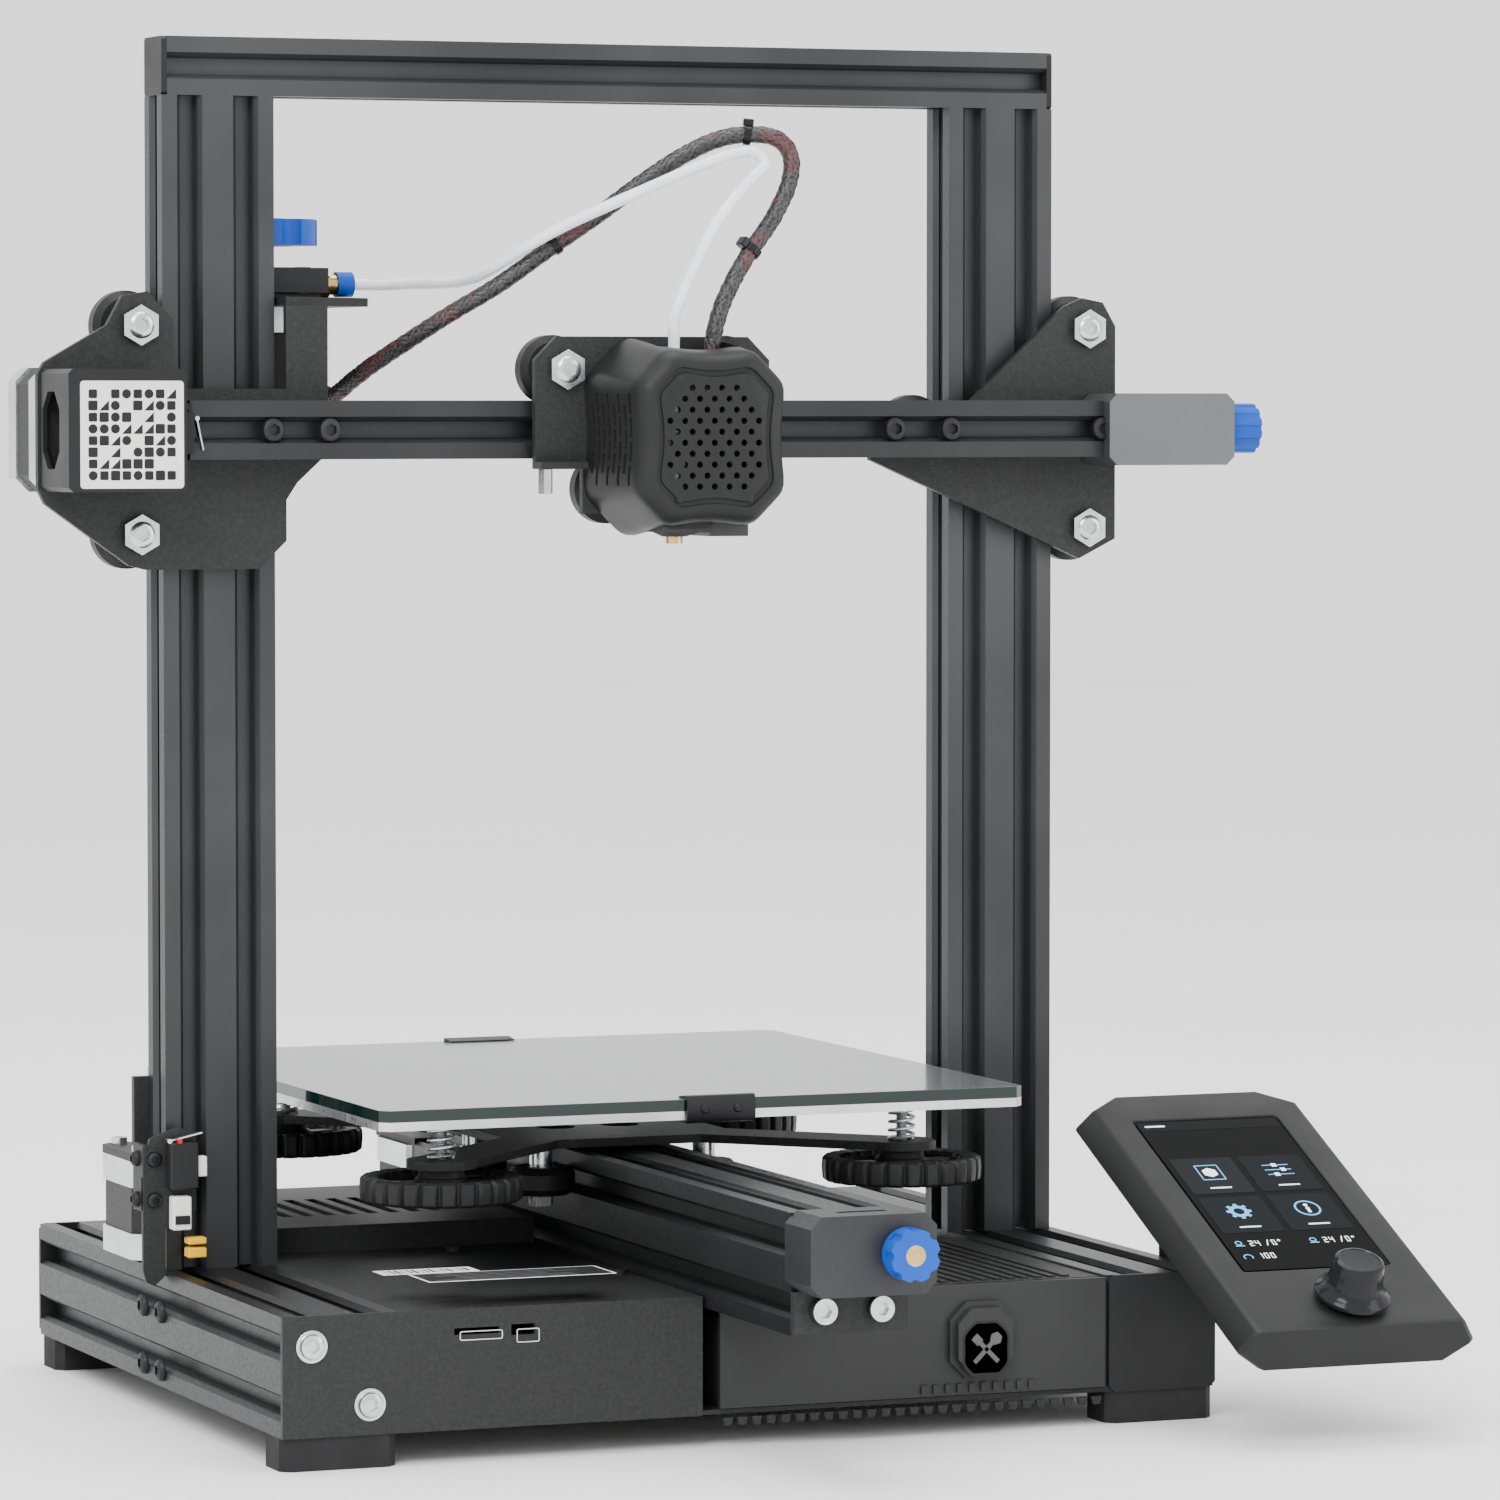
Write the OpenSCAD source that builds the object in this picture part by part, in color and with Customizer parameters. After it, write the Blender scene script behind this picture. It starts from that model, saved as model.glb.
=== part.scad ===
// Desktop filament printer with a sliding bed, an overhead gantry and a drawer in its base.
// Working frame: X to the right, Y to the back, Z up. X = 0 is the middle of the base,
// Y = 0 its front plate and Z = 0 the surface it stands on. in_row_frame() then moves
// everything so that the origin is under the middle of the whole machine.

/* [Overall] */
// Side of the square print bed
bed_size = 235; // [150:1:320]
// Height of the uprights above the base
upright_h = 402; // [320:1:520]
// Length of the base from front to back
base_l = 282; // [250:1:400]
// Front-to-back travel of the bed
bed_travel = 220; // [150:1:270]
// Distance from the front of the base to the uprights
upright_y = 134; // [110:1:160]

/* [Extrusions] */
// Side of one extrusion cell
cell = 20; // [20:1:24]
// Radius of the screw hole along each cell
cell_bore_r = 2.1; // [1.5:0.1:2.5]
// Gap between the bed and each upright
bed_side_gap = 8.5; // [6:0.5:20]
// How far the uprights stand in from the sides of the base
upright_inset = 2; // [0:0.5:4]
// How far the cross beam sits below the top of the base
beam_drop = 4; // [0:0.5:5]

/* [Base] */
// Height of the rubber feet
foot_h = 11; // [9:1:20]
// Length of each foot
foot_l = 20; // [12:1:40]
// Thickness of the front plate and of the plastic end caps
cap_t = 2; // [1:0.5:4]
// Wall of the sheet-metal cases
sheet_t = 1.5; // [1:0.1:2]
// Height of the raised lid over the power supply
raised_lid_h = 9; // [5:1:14]
// Wall of the drawer
drawer_wall = 1.6; // [1:0.1:2.5]

/* [Bed] */
// Thickness of the glass
glass_t = 4; // [3:0.5:6]
// Thickness of the heated plate
plate_t = 3; // [2:0.5:5]
// Gap that the bed springs hold
spring_h = 13.5; // [8:0.5:20]
// Half of the spacing between the levelling screws
screw_offset = 85; // [60:1:100]
// Diameter of the levelling knobs
knob_d = 56; // [30:1:58]
// Thickness of the bed carriage
frame_t = 3; // [2:0.5:4]
// Distance between the two wheels on each side of the bed
bed_wheel_gap = 70; // [60:1:100]

/* [Wheels and belts] */
// Outer radius of a grooved wheel
wheel_r = 12; // [10:0.5:13]
// Width of a wheel
wheel_w = 9.8; // [8:0.2:11]
// Radius of the screws through the wheels
axle_r = 2.5; // [2:0.1:3]
// Width of the belts
belt_w = 6; // [5:0.5:6]
// Thickness of the belts
belt_t = 1.4; // [1:0.1:1.6]
// Radius of a 20-tooth pulley at the belt's middle
pulley_r = 6.4; // [6:0.1:7]
// Radius of a motor shaft
shaft_r = 2.5; // [2:0.1:3]
// Radial running clearance of shafts in their bearings
run_gap = 0.06; // [0.03:0.01:0.1]
// Side of the motors
motor_w = 42.3; // [39:0.1:43]

/* [Gantry] */
// Distance from the top of the uprights down to the middle of the gantry beam at rest
gantry_drop = 114; // [112:1:200]
// Thickness of the gantry plates
gantry_t = 3; // [2:0.5:3]
// Radius of the lead screw
screw_r = 4; // [3:0.5:5]
// Radius of the drive wheel on the filament motor
feed_knob_r = 25; // [15:1:25]
// Length of the X tensioner box
tensioner_l = 49; // [35:1:60]

/* [Print head] */
// Distance from the gantry beam down to the tip of the nozzle
nozzle_drop = 39; // [36:1:45]
// Distance from the uprights forward to the nozzle
nozzle_reach = 54; // [52:1:60]
// Width of the cover over the print head
shroud_w = 57; // [54:1:66]
// Height of the cover
shroud_h = 66; // [60:1:70]
// Depth of the cover
shroud_d = 42; // [40:1:50]
// Wall of the cover
shroud_wall = 2; // [1.5:0.1:3]

/* [Display] */
// Width of the display
display_w = 88; // [75:1:110]
// Length of the display up its slope
display_l = 155; // [130:1:190]
// Thickness of the display
display_t = 15.5; // [12:0.5:20]
// Slope of the display
display_tilt = 25.4; // [15:0.1:35]
// Diameter of the display's dial
dial_d = 26; // [18:1:30]

/* [Hidden] */
$fn = 48;

// Colours
dark_metal = "#4a4d50";
mid_metal = "#63666a";
steel = "#c4c6c8";
black = "#26282a";
blue = "#1670d8";
brass = "#c9a24a";

// Small fixed gaps and overlaps
eps = 0.01;
free_gap = 0.4;

// Frame
rail = 2 * cell;
base_w = bed_size + 2 * (bed_side_gap + rail + upright_inset);
base_z0 = foot_h;
base_z1 = base_z0 + rail;
rail_x = base_w / 2 - cell;
inner_x = base_w / 2 - rail;
post_x = rail_x - upright_inset;
post_out = post_x + cell;
post_in = post_x - cell;
post_mid_y = upright_y + cell / 2;
post_back = upright_y + cell;
post_top = base_z1 + upright_h;
beam_mid_y = upright_y + 8;
beam_z0 = base_z0 - beam_drop;
beam_front = beam_mid_y - cell;
beam_back = beam_mid_y + cell;

// Bed and its rail
y_rail_z0 = beam_z0 + rail;
y_rail_z1 = y_rail_z0 + rail;
nozzle_y = upright_y - nozzle_reach;
rail_end_room = 10;
rail_motor_room = 60;
y_rail_front = nozzle_y - bed_travel / 2 - bed_wheel_gap / 2 - rail_end_room;
y_rail_back = nozzle_y + bed_travel / 2 + bed_wheel_gap / 2 + rail_end_room + rail_motor_room;
bed_rest = 85;
bed_y = nozzle_y + bed_rest;
frame_z0 = y_rail_z1 + 1.5;
frame_z1 = frame_z0 + frame_t;
hot_z0 = frame_z1 + spring_h;
hot_z1 = hot_z0 + plate_t;
glass_z1 = hot_z1 + glass_t;
groove_bite = 1.4;
wheel_reach = wheel_r - groove_bite;
bed_wheel_x = cell + wheel_reach;
bed_wheel_z = y_rail_z1 - cell / 2;

// Y drive
y_run = cell / 2;
y_belt_z = y_rail_z1 - belt_w;
y_idler_y = y_rail_front - 9.3;
y_pulley_y = y_rail_back + motor_w / 2 + 2;
y_block_front = y_rail_front - 22;
y_block_w = 44;
y_block_z0 = y_rail_z0 + 14.5;
y_block_z1 = y_rail_z1 + 0.8;
y_knob_x = 11;
y_knob_z = y_rail_z0 + 28;
y_knob_r = 8.6;
y_knob_h = 8;
y_motor_top = y_belt_z - 9;
y_motor_l = 34;

// Gantry
beam_z = post_top - gantry_drop;
beam_half = cell / 2;
x_beam_front = upright_y - 28;
x_beam_back = x_beam_front + cell;
x_mid_y = x_beam_front + cell / 2;
x_beam_left = -(post_out - 1);
x_beam_right = post_out + 8;
plate_front = x_beam_back;
plate_back = plate_front + gantry_t;
wheel_x = post_out + wheel_reach;
wheel_in_x = post_in - wheel_reach;
wheel_rise = 35.5;
x_motor_x = -(post_out + 25);
x_motor_l = 34;
cover_front = x_beam_front - 14;
plate_edge = 21.5;
x_run = pulley_r;
x_idler_x = x_beam_right + 16;
x_box_front = x_beam_front - 5;
knob_gap = 0.5;
x_knob_r = 9;
x_knob_l = 14.5;
x_knob_x0 = x_beam_right + tensioner_l + knob_gap;

// Lead screw and its motor
z_screw_x = -(post_x + 4);
z_screw_y = post_back + motor_w / 2 + 0.1;
z_motor_z0 = base_z1 + 1;
z_motor_l = 34;
z_plate_z0 = z_motor_z0 + z_motor_l;
coupler_z0 = z_plate_z0 + 6;
coupler_h = 25;
coupler_r = 9.5;
screw_top = post_top - 10;

// Extruder
feed_z = beam_z + 42.5;
feed_top = feed_z + 3;
feed_motor_x = -(post_in - 5);
feed_motor_y = z_screw_y + 6;
feed_motor_l = 38;
gear_r = 5.5;
filament_gap = 0.8;
filament_y = feed_motor_y - gear_r - filament_gap;
filament_z = feed_top + 5;
filament_r = 1;
feed_half = motor_w / 2 - 0.5;
arm_pivot_x = feed_motor_x - 16;
arm_pivot_y = filament_y - 9;
fitting_x0 = feed_motor_x + feed_half;
fitting_l = 10;
clip_l = 6;
knob_z = feed_top + 18.5;

// Print head
nozzle_z = beam_z - nozzle_drop;
carriage_front = x_beam_front - 6;
carriage_t = 3;
carriage_half = 43.3;
car_wheel_x = 32;
car_low_wheel_x = -12;
car_wheel_z = beam_half + wheel_reach;
shroud_x = 6.5;
shroud_back = x_beam_front - 4 - 2 - eps;
shroud_front = shroud_back - shroud_d;
shroud_mid_z = beam_z - 3;
shroud_chamfer = 14;
fan_r = 17;
fan_pin_r = 1.5;
fan_hub_l = 5;
fan_back = nozzle_y - 12;

// Display
display_overlap = 28;
display_x = base_w / 2 - display_overlap + display_w / 2;
display_front_y = -80;
display_front_z = 40.5;
screen_w = 54;
screen_l = 97;
screen_s = 86.5;
dial_s = 16.5;
dial_x = 3;
dial_shaft_r = 3;
dial_press = 1.5;

// Cable clamp on the gantry
clamp_x0 = feed_motor_x + 22;
clamp_w = 8;
clamp_y0 = feed_motor_y + 16.75;
clamp_t = 6;
clamp_low = feed_z - 43.5;
clip_end_x = fitting_x0 + fitting_l + clip_l;
hotend_h = 66;

// Extents without the cords
x_min = x_motor_x - plate_edge;
x_max = x_knob_x0 + x_knob_l;
y_min = min(y_block_front - knob_gap - y_knob_h, display_front_y);
y_max = max(y_pulley_y + motor_w / 2, bed_y + bed_size / 2);
module in_row_frame()
    translate([-(x_min + x_max) / 2, -(y_min + y_max) / 2, 0]) children();

// ---------- shared shapes ----------

// One slot, cut into a face whose middle is at the origin and that looks along +Y
module slot_cut() {
    half_mouth = 4.5;
    half_neck = 3.1;
    half_room = 5.4;
    neck = 1.8;
    room = 2.8;
    depth = 6.1;
    polygon([
        [-half_mouth, eps], [half_mouth, eps], [half_neck, -neck], [half_room, -neck],
        [half_room, -room], [half_neck - 0.3, -depth], [0.3 - half_neck, -depth],
        [-half_room, -room], [-half_room, -neck], [-half_neck, -neck]
    ]);
}

// Cross-section of an extrusion of nx by ny cells, centred on the origin
module extrusion_2d(nx, ny) {
    difference() {
        square([nx * cell, ny * cell], center = true);
        for (i = [0:nx - 1]) {
            x = (i - (nx - 1) / 2) * cell;
            for (s = [0, 1]) rotate(180 * s) translate([x, ny * cell / 2]) slot_cut();
            for (j = [0:ny - 1]) translate([x, (j - (ny - 1) / 2) * cell]) circle(r = cell_bore_r);
        }
        for (j = [0:ny - 1]) {
            y = (j - (ny - 1) / 2) * cell;
            for (s = [0, 1]) rotate(180 * s + 90) translate([y, nx * cell / 2]) slot_cut();
        }
        if (nx == 2 && ny == 2) rotate(45) square(cell * 0.42, center = true);
    }
}

module bar_x(ny, nz, len) rotate([90, 0, 90]) linear_extrude(len) extrusion_2d(ny, nz);
module bar_y(nx, nz, len) translate([0, len, 0]) rotate([90, 0, 0])
    linear_extrude(len) extrusion_2d(nx, nz);
module bar_z(nx, ny, len) linear_extrude(len) extrusion_2d(nx, ny);

// A rectangle with cut corners, centred
module cut_rect(w, h, c) {
    polygon([
        [-w / 2 + c, -h / 2], [w / 2 - c, -h / 2], [w / 2, -h / 2 + c], [w / 2, h / 2 - c],
        [w / 2 - c, h / 2], [-w / 2 + c, h / 2], [-w / 2, h / 2 - c], [-w / 2, -h / 2 + c]
    ]);
}

// A box given by two corners
module box(a, b) translate(a) cube(b - a);

// Extrudes a drawing in X and Z from y0 to y1
module wall_xz(y0, y1) translate([0, y1, 0]) rotate([90, 0, 0]) linear_extrude(y1 - y0) children();

// A cylinder along Y from y0 to y1
module rod_y(x, z, r, y0, y1) translate([x, y1, z]) rotate([90, 0, 0]) cylinder(r = r, h = y1 - y0);

// A cylinder along X from x0 to x1
module rod_x(y, z, r, x0, x1) translate([x0, y, z]) rotate([0, 90, 0]) cylinder(r = r, h = x1 - x0);

// Screw head with a hexagon socket; its seat is at the origin and it stands along +Z
module screw_head(r = 4.2, h = 3.2) {
    socket_r = 0.5 * r;
    difference() {
        cylinder(r = r, h = h);
        translate([0, 0, h * 0.4]) cylinder(r = socket_r, h = h, $fn = 6);
    }
}

// Grooved wheel about the Z axis, centred
module grooved_wheel() {
    half = wheel_w / 2;
    flat_half = 2.6;
    shoulder = wheel_r - (half - flat_half);
    rotate_extrude() polygon([
        [axle_r + 0.1, -half], [shoulder, -half], [wheel_r, -flat_half],
        [wheel_r, flat_half], [shoulder, half], [axle_r + 0.1, half]
    ]);
}

// Stepper motor with its mounting face at Z = 0, body below it, and a bore for its shaft
module motor(l) {
    corner = 4.5;
    end_l = 9;
    inset = 0.6;
    boss_r = 11;
    boss_h = 1.6;
    bore_l = 12;
    difference() {
        union() {
            translate([0, 0, -end_l]) linear_extrude(end_l) cut_rect(motor_w, motor_w, corner);
            translate([0, 0, end_l - l]) linear_extrude(l - 2 * end_l)
                cut_rect(motor_w - 2 * inset, motor_w - 2 * inset, corner + inset);
            translate([0, 0, -l]) linear_extrude(end_l) cut_rect(motor_w, motor_w, corner);
            cylinder(r = boss_r, h = boss_h);
        }
        translate([0, 0, -bore_l]) cylinder(r = shaft_r + run_gap, h = bore_l + boss_h + eps);
    }
}

// Toothed pulley about Z, from z = 0, for a belt whose inner radius is r
module pulley(r, h) {
    flange = 1;
    lip = 1.2;
    cylinder(r = r + lip, h = flange);
    translate([0, 0, flange]) cylinder(r = r, h = h - 2 * flange);
    translate([0, 0, h - flange]) cylinder(r = r + lip, h = flange);
}

// Long round-ended shape: radius r, centres from [0,0] to [len,0]
module stadium(r, len) {
    circle(r = r);
    translate([len, 0]) circle(r = r);
    translate([0, -r]) square([len, 2 * r]);
}

// Flat ring of belt, len between centres, mid radius r
module belt_loop(r, len) {
    linear_extrude(belt_w) difference() {
        stadium(r + belt_t / 2, len);
        stadium(r - belt_t / 2, len);
    }
}

// Tube swept along points, with sides corners to a ring
module swept_tube(points, r, sides) {
    n = len(points);
    function unit(v) = v / norm(v);
    function heading(i) = unit(points[min(i + 1, n - 1)] - points[max(i - 1, 0)]);
    function side_of(t) = unit(cross(t, abs(t[2]) > 0.95 ? [0, 1, 0] : [0, 0, 1]));
    function carried(i) = i == 0 ? side_of(heading(0))
        : let (p = carried(i - 1), t = heading(i)) unit(p - (p * t) * t);
    rings = [
        for (i = [0:n - 1])
            let (t = heading(i), u = carried(i), v = cross(t, u))
            for (k = [0:sides - 1])
                points[i] + r * (cos(360 * k / sides) * u + sin(360 * k / sides) * v)
    ];
    walls = [
        for (i = [0:n - 2]) for (k = [0:sides - 1])
            [i * sides + k, i * sides + (k + 1) % sides, (i + 1) * sides + (k + 1) % sides,
            (i + 1) * sides + k]
    ];
    polyhedron(
        points = rings,
        faces = concat([[for (k = [sides - 1:-1:0]) k]], walls,
            [[for (k = [0:sides - 1]) (n - 1) * sides + k]])
    );
}

// Smooth curve through hand-chosen points, with steps pieces between each pair
function at(p, i) = p[max(0, min(i, len(p) - 1))];
function blend_point(a, b, c, d, t) =
    0.5 * (2 * b + (c - a) * t + (2 * a - 5 * b + 4 * c - d) * t * t + (3 * b - a - 3 * c + d) * t * t * t);
function smooth(p, steps) = concat(
    [for (i = [0:len(p) - 2]) for (s = [0:steps - 1])
        blend_point(at(p, i - 1), p[i], p[i + 1], at(p, i + 2), s / steps)],
    [p[len(p) - 1]]
);

// ---------- frame ----------

module base_rails() color(dark_metal) in_row_frame() {
    for (s = [-1, 1]) translate([s * rail_x, cap_t, base_z0 + cell]) bar_y(2, 2, base_l - cap_t);
}

module cross_beam() color(dark_metal) in_row_frame()
    translate([-inner_x, beam_mid_y, beam_z0 + cell]) bar_x(2, 2, 2 * inner_x);

module y_rail() color(dark_metal) in_row_frame()
    translate([0, y_rail_front, y_rail_z0 + cell]) bar_y(2, 2, y_rail_back - y_rail_front);

module uprights() color(mid_metal) in_row_frame()
    for (s = [-1, 1]) translate([s * post_x, post_mid_y, base_z1]) bar_z(2, 1, upright_h);

module top_beam() color(dark_metal) in_row_frame()
    translate([cap_t - post_out, post_mid_y, post_top + cell / 2]) bar_x(1, 1, 2 * (post_out - cap_t));

module end_caps() color(black) in_row_frame() {
    corner = 2;
    translate([0, 0, base_z0 + cell]) {
        translate([rail_x, 0, 0]) wall_xz(0, cap_t) cut_rect(rail, rail, corner);
        for (s = [-1, 1]) translate([s * rail_x, 0, 0])
            wall_xz(base_l, base_l + cap_t) cut_rect(rail, rail, corner);
    }
    for (s = [0, 1]) mirror([s, 0, 0])
        translate([post_out - cap_t, post_mid_y, post_top + cell / 2])
            rotate([90, 0, 90]) linear_extrude(cap_t) cut_rect(cell, cell, corner / 2);
}

module rubber_feet() color(black) in_row_frame() {
    corner = 3;
    for (s = [-1, 1]) for (y = [foot_l / 2 + 1, base_l - foot_l / 2 - 1])
        translate([s * rail_x, y, 0]) linear_extrude(foot_h) cut_rect(rail, foot_l, corner);
}

module frame_screws() color(steel) in_row_frame() {
    // Through the base rails into the cross beam
    for (s = [0, 1]) mirror([s, 0, 0]) for (dy = [-10, 10]) for (dz = [-10, 10])
        translate([base_w / 2, beam_mid_y + dy, beam_z0 + cell + dz]) rotate([0, 90, 0])
            screw_head(3.6, 2.4);
    // Through the front plate into the left rail
    for (d = [[-10, 10], [10, -10]])
        translate([d[0] - rail_x, 0, base_z0 + cell + d[1]]) rotate([90, 0, 0]) screw_head(4, 2.6);
}

// ---------- electronics and drawer ----------

case_left = -inner_x;
case_right = -cell - 1;
case_back = beam_front - 1;
supply_front = beam_back + 1;
supply_back = base_l - 2;
inlet_x = (case_left + case_right) / 2 - 20;
inlet_z = base_z0 + cell;
inlet_w = 27;
inlet_h = 20;
switch_x = inlet_x + 40;
switch_w = 13;
switch_pin_r = 1.4;
switch_pin_l = switch_w + 1.2;

module electronics_case() color(dark_metal) in_row_frame() {
    port_z = base_z0 + 32.4;
    floor_z = base_z0 + sheet_t;
    difference() {
        union() {
            box([-base_w / 2, 0, base_z0], [case_right, cap_t, base_z1]);
            box([case_left, cap_t, base_z0], [case_right, case_back, floor_z]);
            box([case_right - sheet_t, cap_t, base_z0], [case_right, case_back, base_z1 - 2]);
        }
        // Card slot and socket for a computer
        box([-108.7, -1, port_z - 1], [-93, cap_t + 1, port_z + 1.2]);
        box([-88.8, -1, port_z - 2], [-80.5, cap_t + 1, port_z + 1.6]);
        // Air slots in the floor
        for (i = [0:6]) box([case_left + 18 + i * 12, 30, base_z0 - 1],
            [case_left + 22 + i * 12, 90, floor_z + 1]);
    }
    // Rear floor and back wall around the inlet and the switch
    difference() {
        union() {
            box([case_left, supply_front, base_z0], [case_right, supply_back, floor_z]);
            box([case_left, supply_back - sheet_t, base_z0],
                [case_right, supply_back, base_z1 - sheet_t]);
            box([case_right - sheet_t, supply_front, base_z0],
                [case_right, supply_back, base_z1 - sheet_t]);
        }
        translate([inlet_x, 0, inlet_z]) wall_xz(supply_back - 3, supply_back + 1)
            square([inlet_w + 4, inlet_h + 4], center = true);
        translate([switch_x, 0, inlet_z]) wall_xz(supply_back - 3, supply_back + 1)
            square([switch_w + 4, 24], center = true);
    }
}

module electronics_lid() color(mid_metal) in_row_frame() {
    lid_right = case_right;
    raised_front = beam_back + 3;
    difference() {
        union() {
            box([case_left, cap_t, base_z1 - sheet_t], [lid_right, raised_front, base_z1]);
            box([case_left, raised_front - sheet_t, base_z1 - sheet_t],
                [lid_right, base_l, base_z1 + raised_lid_h]);
        }
        box([case_left + sheet_t, raised_front, base_z1 - 5],
            [lid_right - sheet_t, base_l - sheet_t, base_z1 + raised_lid_h - sheet_t]);
        // Fan slots over the power supply
        for (i = [0:7]) box([case_left + 24 + i * 8, raised_front + 30, base_z1],
            [case_left + 28 + i * 8, raised_front + 80, base_z1 + 20]);
    }
    for (p = [[-56, beam_mid_y + 7], [case_right - 5, 66]]) translate([p[0], p[1], base_z1])
        screw_head(3, 1.8);
}

module mainboard() color("#1c4a34") in_row_frame() {
    board_z = base_z0 + 8;
    board = [[case_left + 10, 12], [case_right - 10, 102]];
    box([board[0][0], board[0][1], board_z], [board[1][0], board[1][1], board_z + 1.6]);
    for (p = [[8, 8], [-8, 8], [8, -8], [-8, -8]]) {
        x = p[0] > 0 ? board[0][0] + 4 : board[1][0] - 4;
        y = p[1] > 0 ? board[0][1] + 4 : board[1][1] - 4;
        translate([x, y, base_z0 + sheet_t]) cylinder(r = 3, h = board_z - base_z0 - sheet_t);
    }
    // Driver heat sinks, capacitor and terminals
    for (i = [0:3]) translate([board[0][0] + 16 + i * 17, 70, board_z + 1.6]) for (k = [0:3])
        box([k * 2.6, 0, 0], [k * 2.6 + 1.3, 9, 9]);
    for (i = [0:3]) translate([board[0][0] + 15 + i * 17, 69, board_z + 1.6]) cube([11.5, 11, 1]);
    translate([board[0][0] + 20, 40, board_z + 1.6]) cylinder(r = 5, h = 14);
    for (i = [0:4]) translate([board[0][0] + 34 + i * 9, 92, board_z + 1.6]) cube([7, 8, 10]);
}

module power_supply() color(steel) in_row_frame() {
    z0 = base_z0 + sheet_t;
    z1 = base_z1 - 2;
    back = supply_back - 26;
    difference() {
        box([case_left + 1, supply_front + 1, z0], [case_right - 3, back, z1]);
        for (i = [0:8]) for (j = [0:4])
            translate([case_left + 18 + i * 8.5, supply_front + 18 + j * 10, z1 - 2])
                cylinder(r = 2, h = 4, $fn = 24);
        box([case_left + 4, back - 14, z0 + 12], [case_right - 6, back + 1, z1 + 1]);
    }
    for (i = [0:6]) translate([case_left + 12 + i * 12, back - 12, z0 + 12]) cube([9, 9, 8]);
}

module power_inlet() color(black) in_row_frame() {
    depth = 17;
    lip = 1.5;
    mouth_y = supply_back + lip;
    translate([inlet_x, 0, inlet_z]) {
        difference() {
            union() {
                wall_xz(supply_back, mouth_y) cut_rect(inlet_w + 14, inlet_h + 9, 3);
                wall_xz(supply_back - depth, supply_back) square([inlet_w, inlet_h], center = true);
            }
            wall_xz(supply_back - depth + 2, mouth_y + eps) polygon([
                [-11.5, -7.5], [11.5, -7.5], [11.5, 3.5], [7.5, 7.5], [-7.5, 7.5], [-11.5, 3.5]
            ]);
        }
        for (p = [[-7, -1], [0, 3], [7, -1]]) translate([p[0], supply_back - depth + 1, p[1]])
            box([-1, 0, -2], [1, depth - 6, 2]);
    }
    translate([switch_x, 0, inlet_z]) difference() {
        union() {
            wall_xz(supply_back, mouth_y) cut_rect(switch_w + 9, 30, 2);
            wall_xz(supply_back - 15, supply_back) square([switch_w + 2, 22], center = true);
        }
        wall_xz(supply_back - 12, mouth_y + eps) square([switch_w, 19], center = true);
        rod_x(supply_back - 3, 0, switch_pin_r + run_gap, -switch_pin_l / 2 - 0.1, switch_pin_l / 2 + 0.1);
    }
}

module power_switch() color("#b01818") in_row_frame() {
    translate([switch_x, supply_back - 3, inlet_z]) rotate([90, 0, 90])
        translate([0, 0, -switch_w / 2 + free_gap]) linear_extrude(switch_w - 2 * free_gap)
            polygon([[-4, -6], [2.5, -8.2], [5, -7.2], [3.6, 0], [3.6, 7.6], [-4, 6]]);
    rod_x(supply_back - 3, inlet_z, switch_pin_r, switch_x - switch_pin_l / 2, switch_x + switch_pin_l / 2);
}

drawer_left = -cell + 5.3;
housing_wall = 1.1;
drawer_right = inner_x - housing_wall - free_gap;
drawer_top = y_rail_z0 - 1;
drawer_high = base_z1;
drawer_step_x = cell + 2;
drawer_z0 = base_z0 + 2;
pad_x = 80;

module drawer_housing() color(dark_metal) in_row_frame() {
    floor_z = base_z0 + sheet_t;
    roof_z = base_z1 - 2;
    right = inner_x;
    box([case_right, cap_t, base_z0], [right, case_back, floor_z]);
    box([right - housing_wall, cap_t, base_z0], [right, case_back, base_z1]);
    box([drawer_step_x, cap_t + 2.5, roof_z], [right, case_back, base_z1 - 0.6]);
    for (i = [0:18]) box([drawer_step_x + 2 + i * 5, cap_t + 6, base_z1 - 0.6],
        [drawer_step_x + 4.5 + i * 5, case_back - 4, base_z1]);
}

module drawer() color(dark_metal) in_row_frame() {
    back = case_back - 2;
    tray_z1 = drawer_top - 4;
    tray_left = drawer_left + 2;
    tray_right = drawer_right - 2;
    front = drawer_high - 0.5;
    // Front panel, lower where it passes under the rail of the bed
    wall_xz(0, cap_t) polygon([
        [drawer_left, drawer_z0], [drawer_right, drawer_z0], [drawer_right, front],
        [drawer_step_x, front], [drawer_step_x, drawer_top], [drawer_left, drawer_top]
    ]);
    difference() {
        box([tray_left, cap_t, drawer_z0], [tray_right, back, tray_z1]);
        box([tray_left + drawer_wall, cap_t + drawer_wall, drawer_z0 + drawer_wall],
            [tray_right - drawer_wall, back - drawer_wall, tray_z1 + 1]);
    }
    // Raised pad that is the pull
    translate([pad_x, 0, (drawer_z0 + front) / 2]) {
        wall_xz(-2, 0) cut_rect(24, 26, 6);
        wall_xz(-4.5, -2) cut_rect(20, 22, 5);
    }
    for (i = [0:9]) box([pad_x - 22 + i * 4.4, -0.9, drawer_z0 + 1],
        [pad_x - 20 + i * 4.4, 0, drawer_z0 + 4]);
}

// ---------- display ----------

module on_display() in_row_frame()
    translate([display_x, display_front_y, display_front_z]) rotate([display_tilt, 0, 0]) children();

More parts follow.
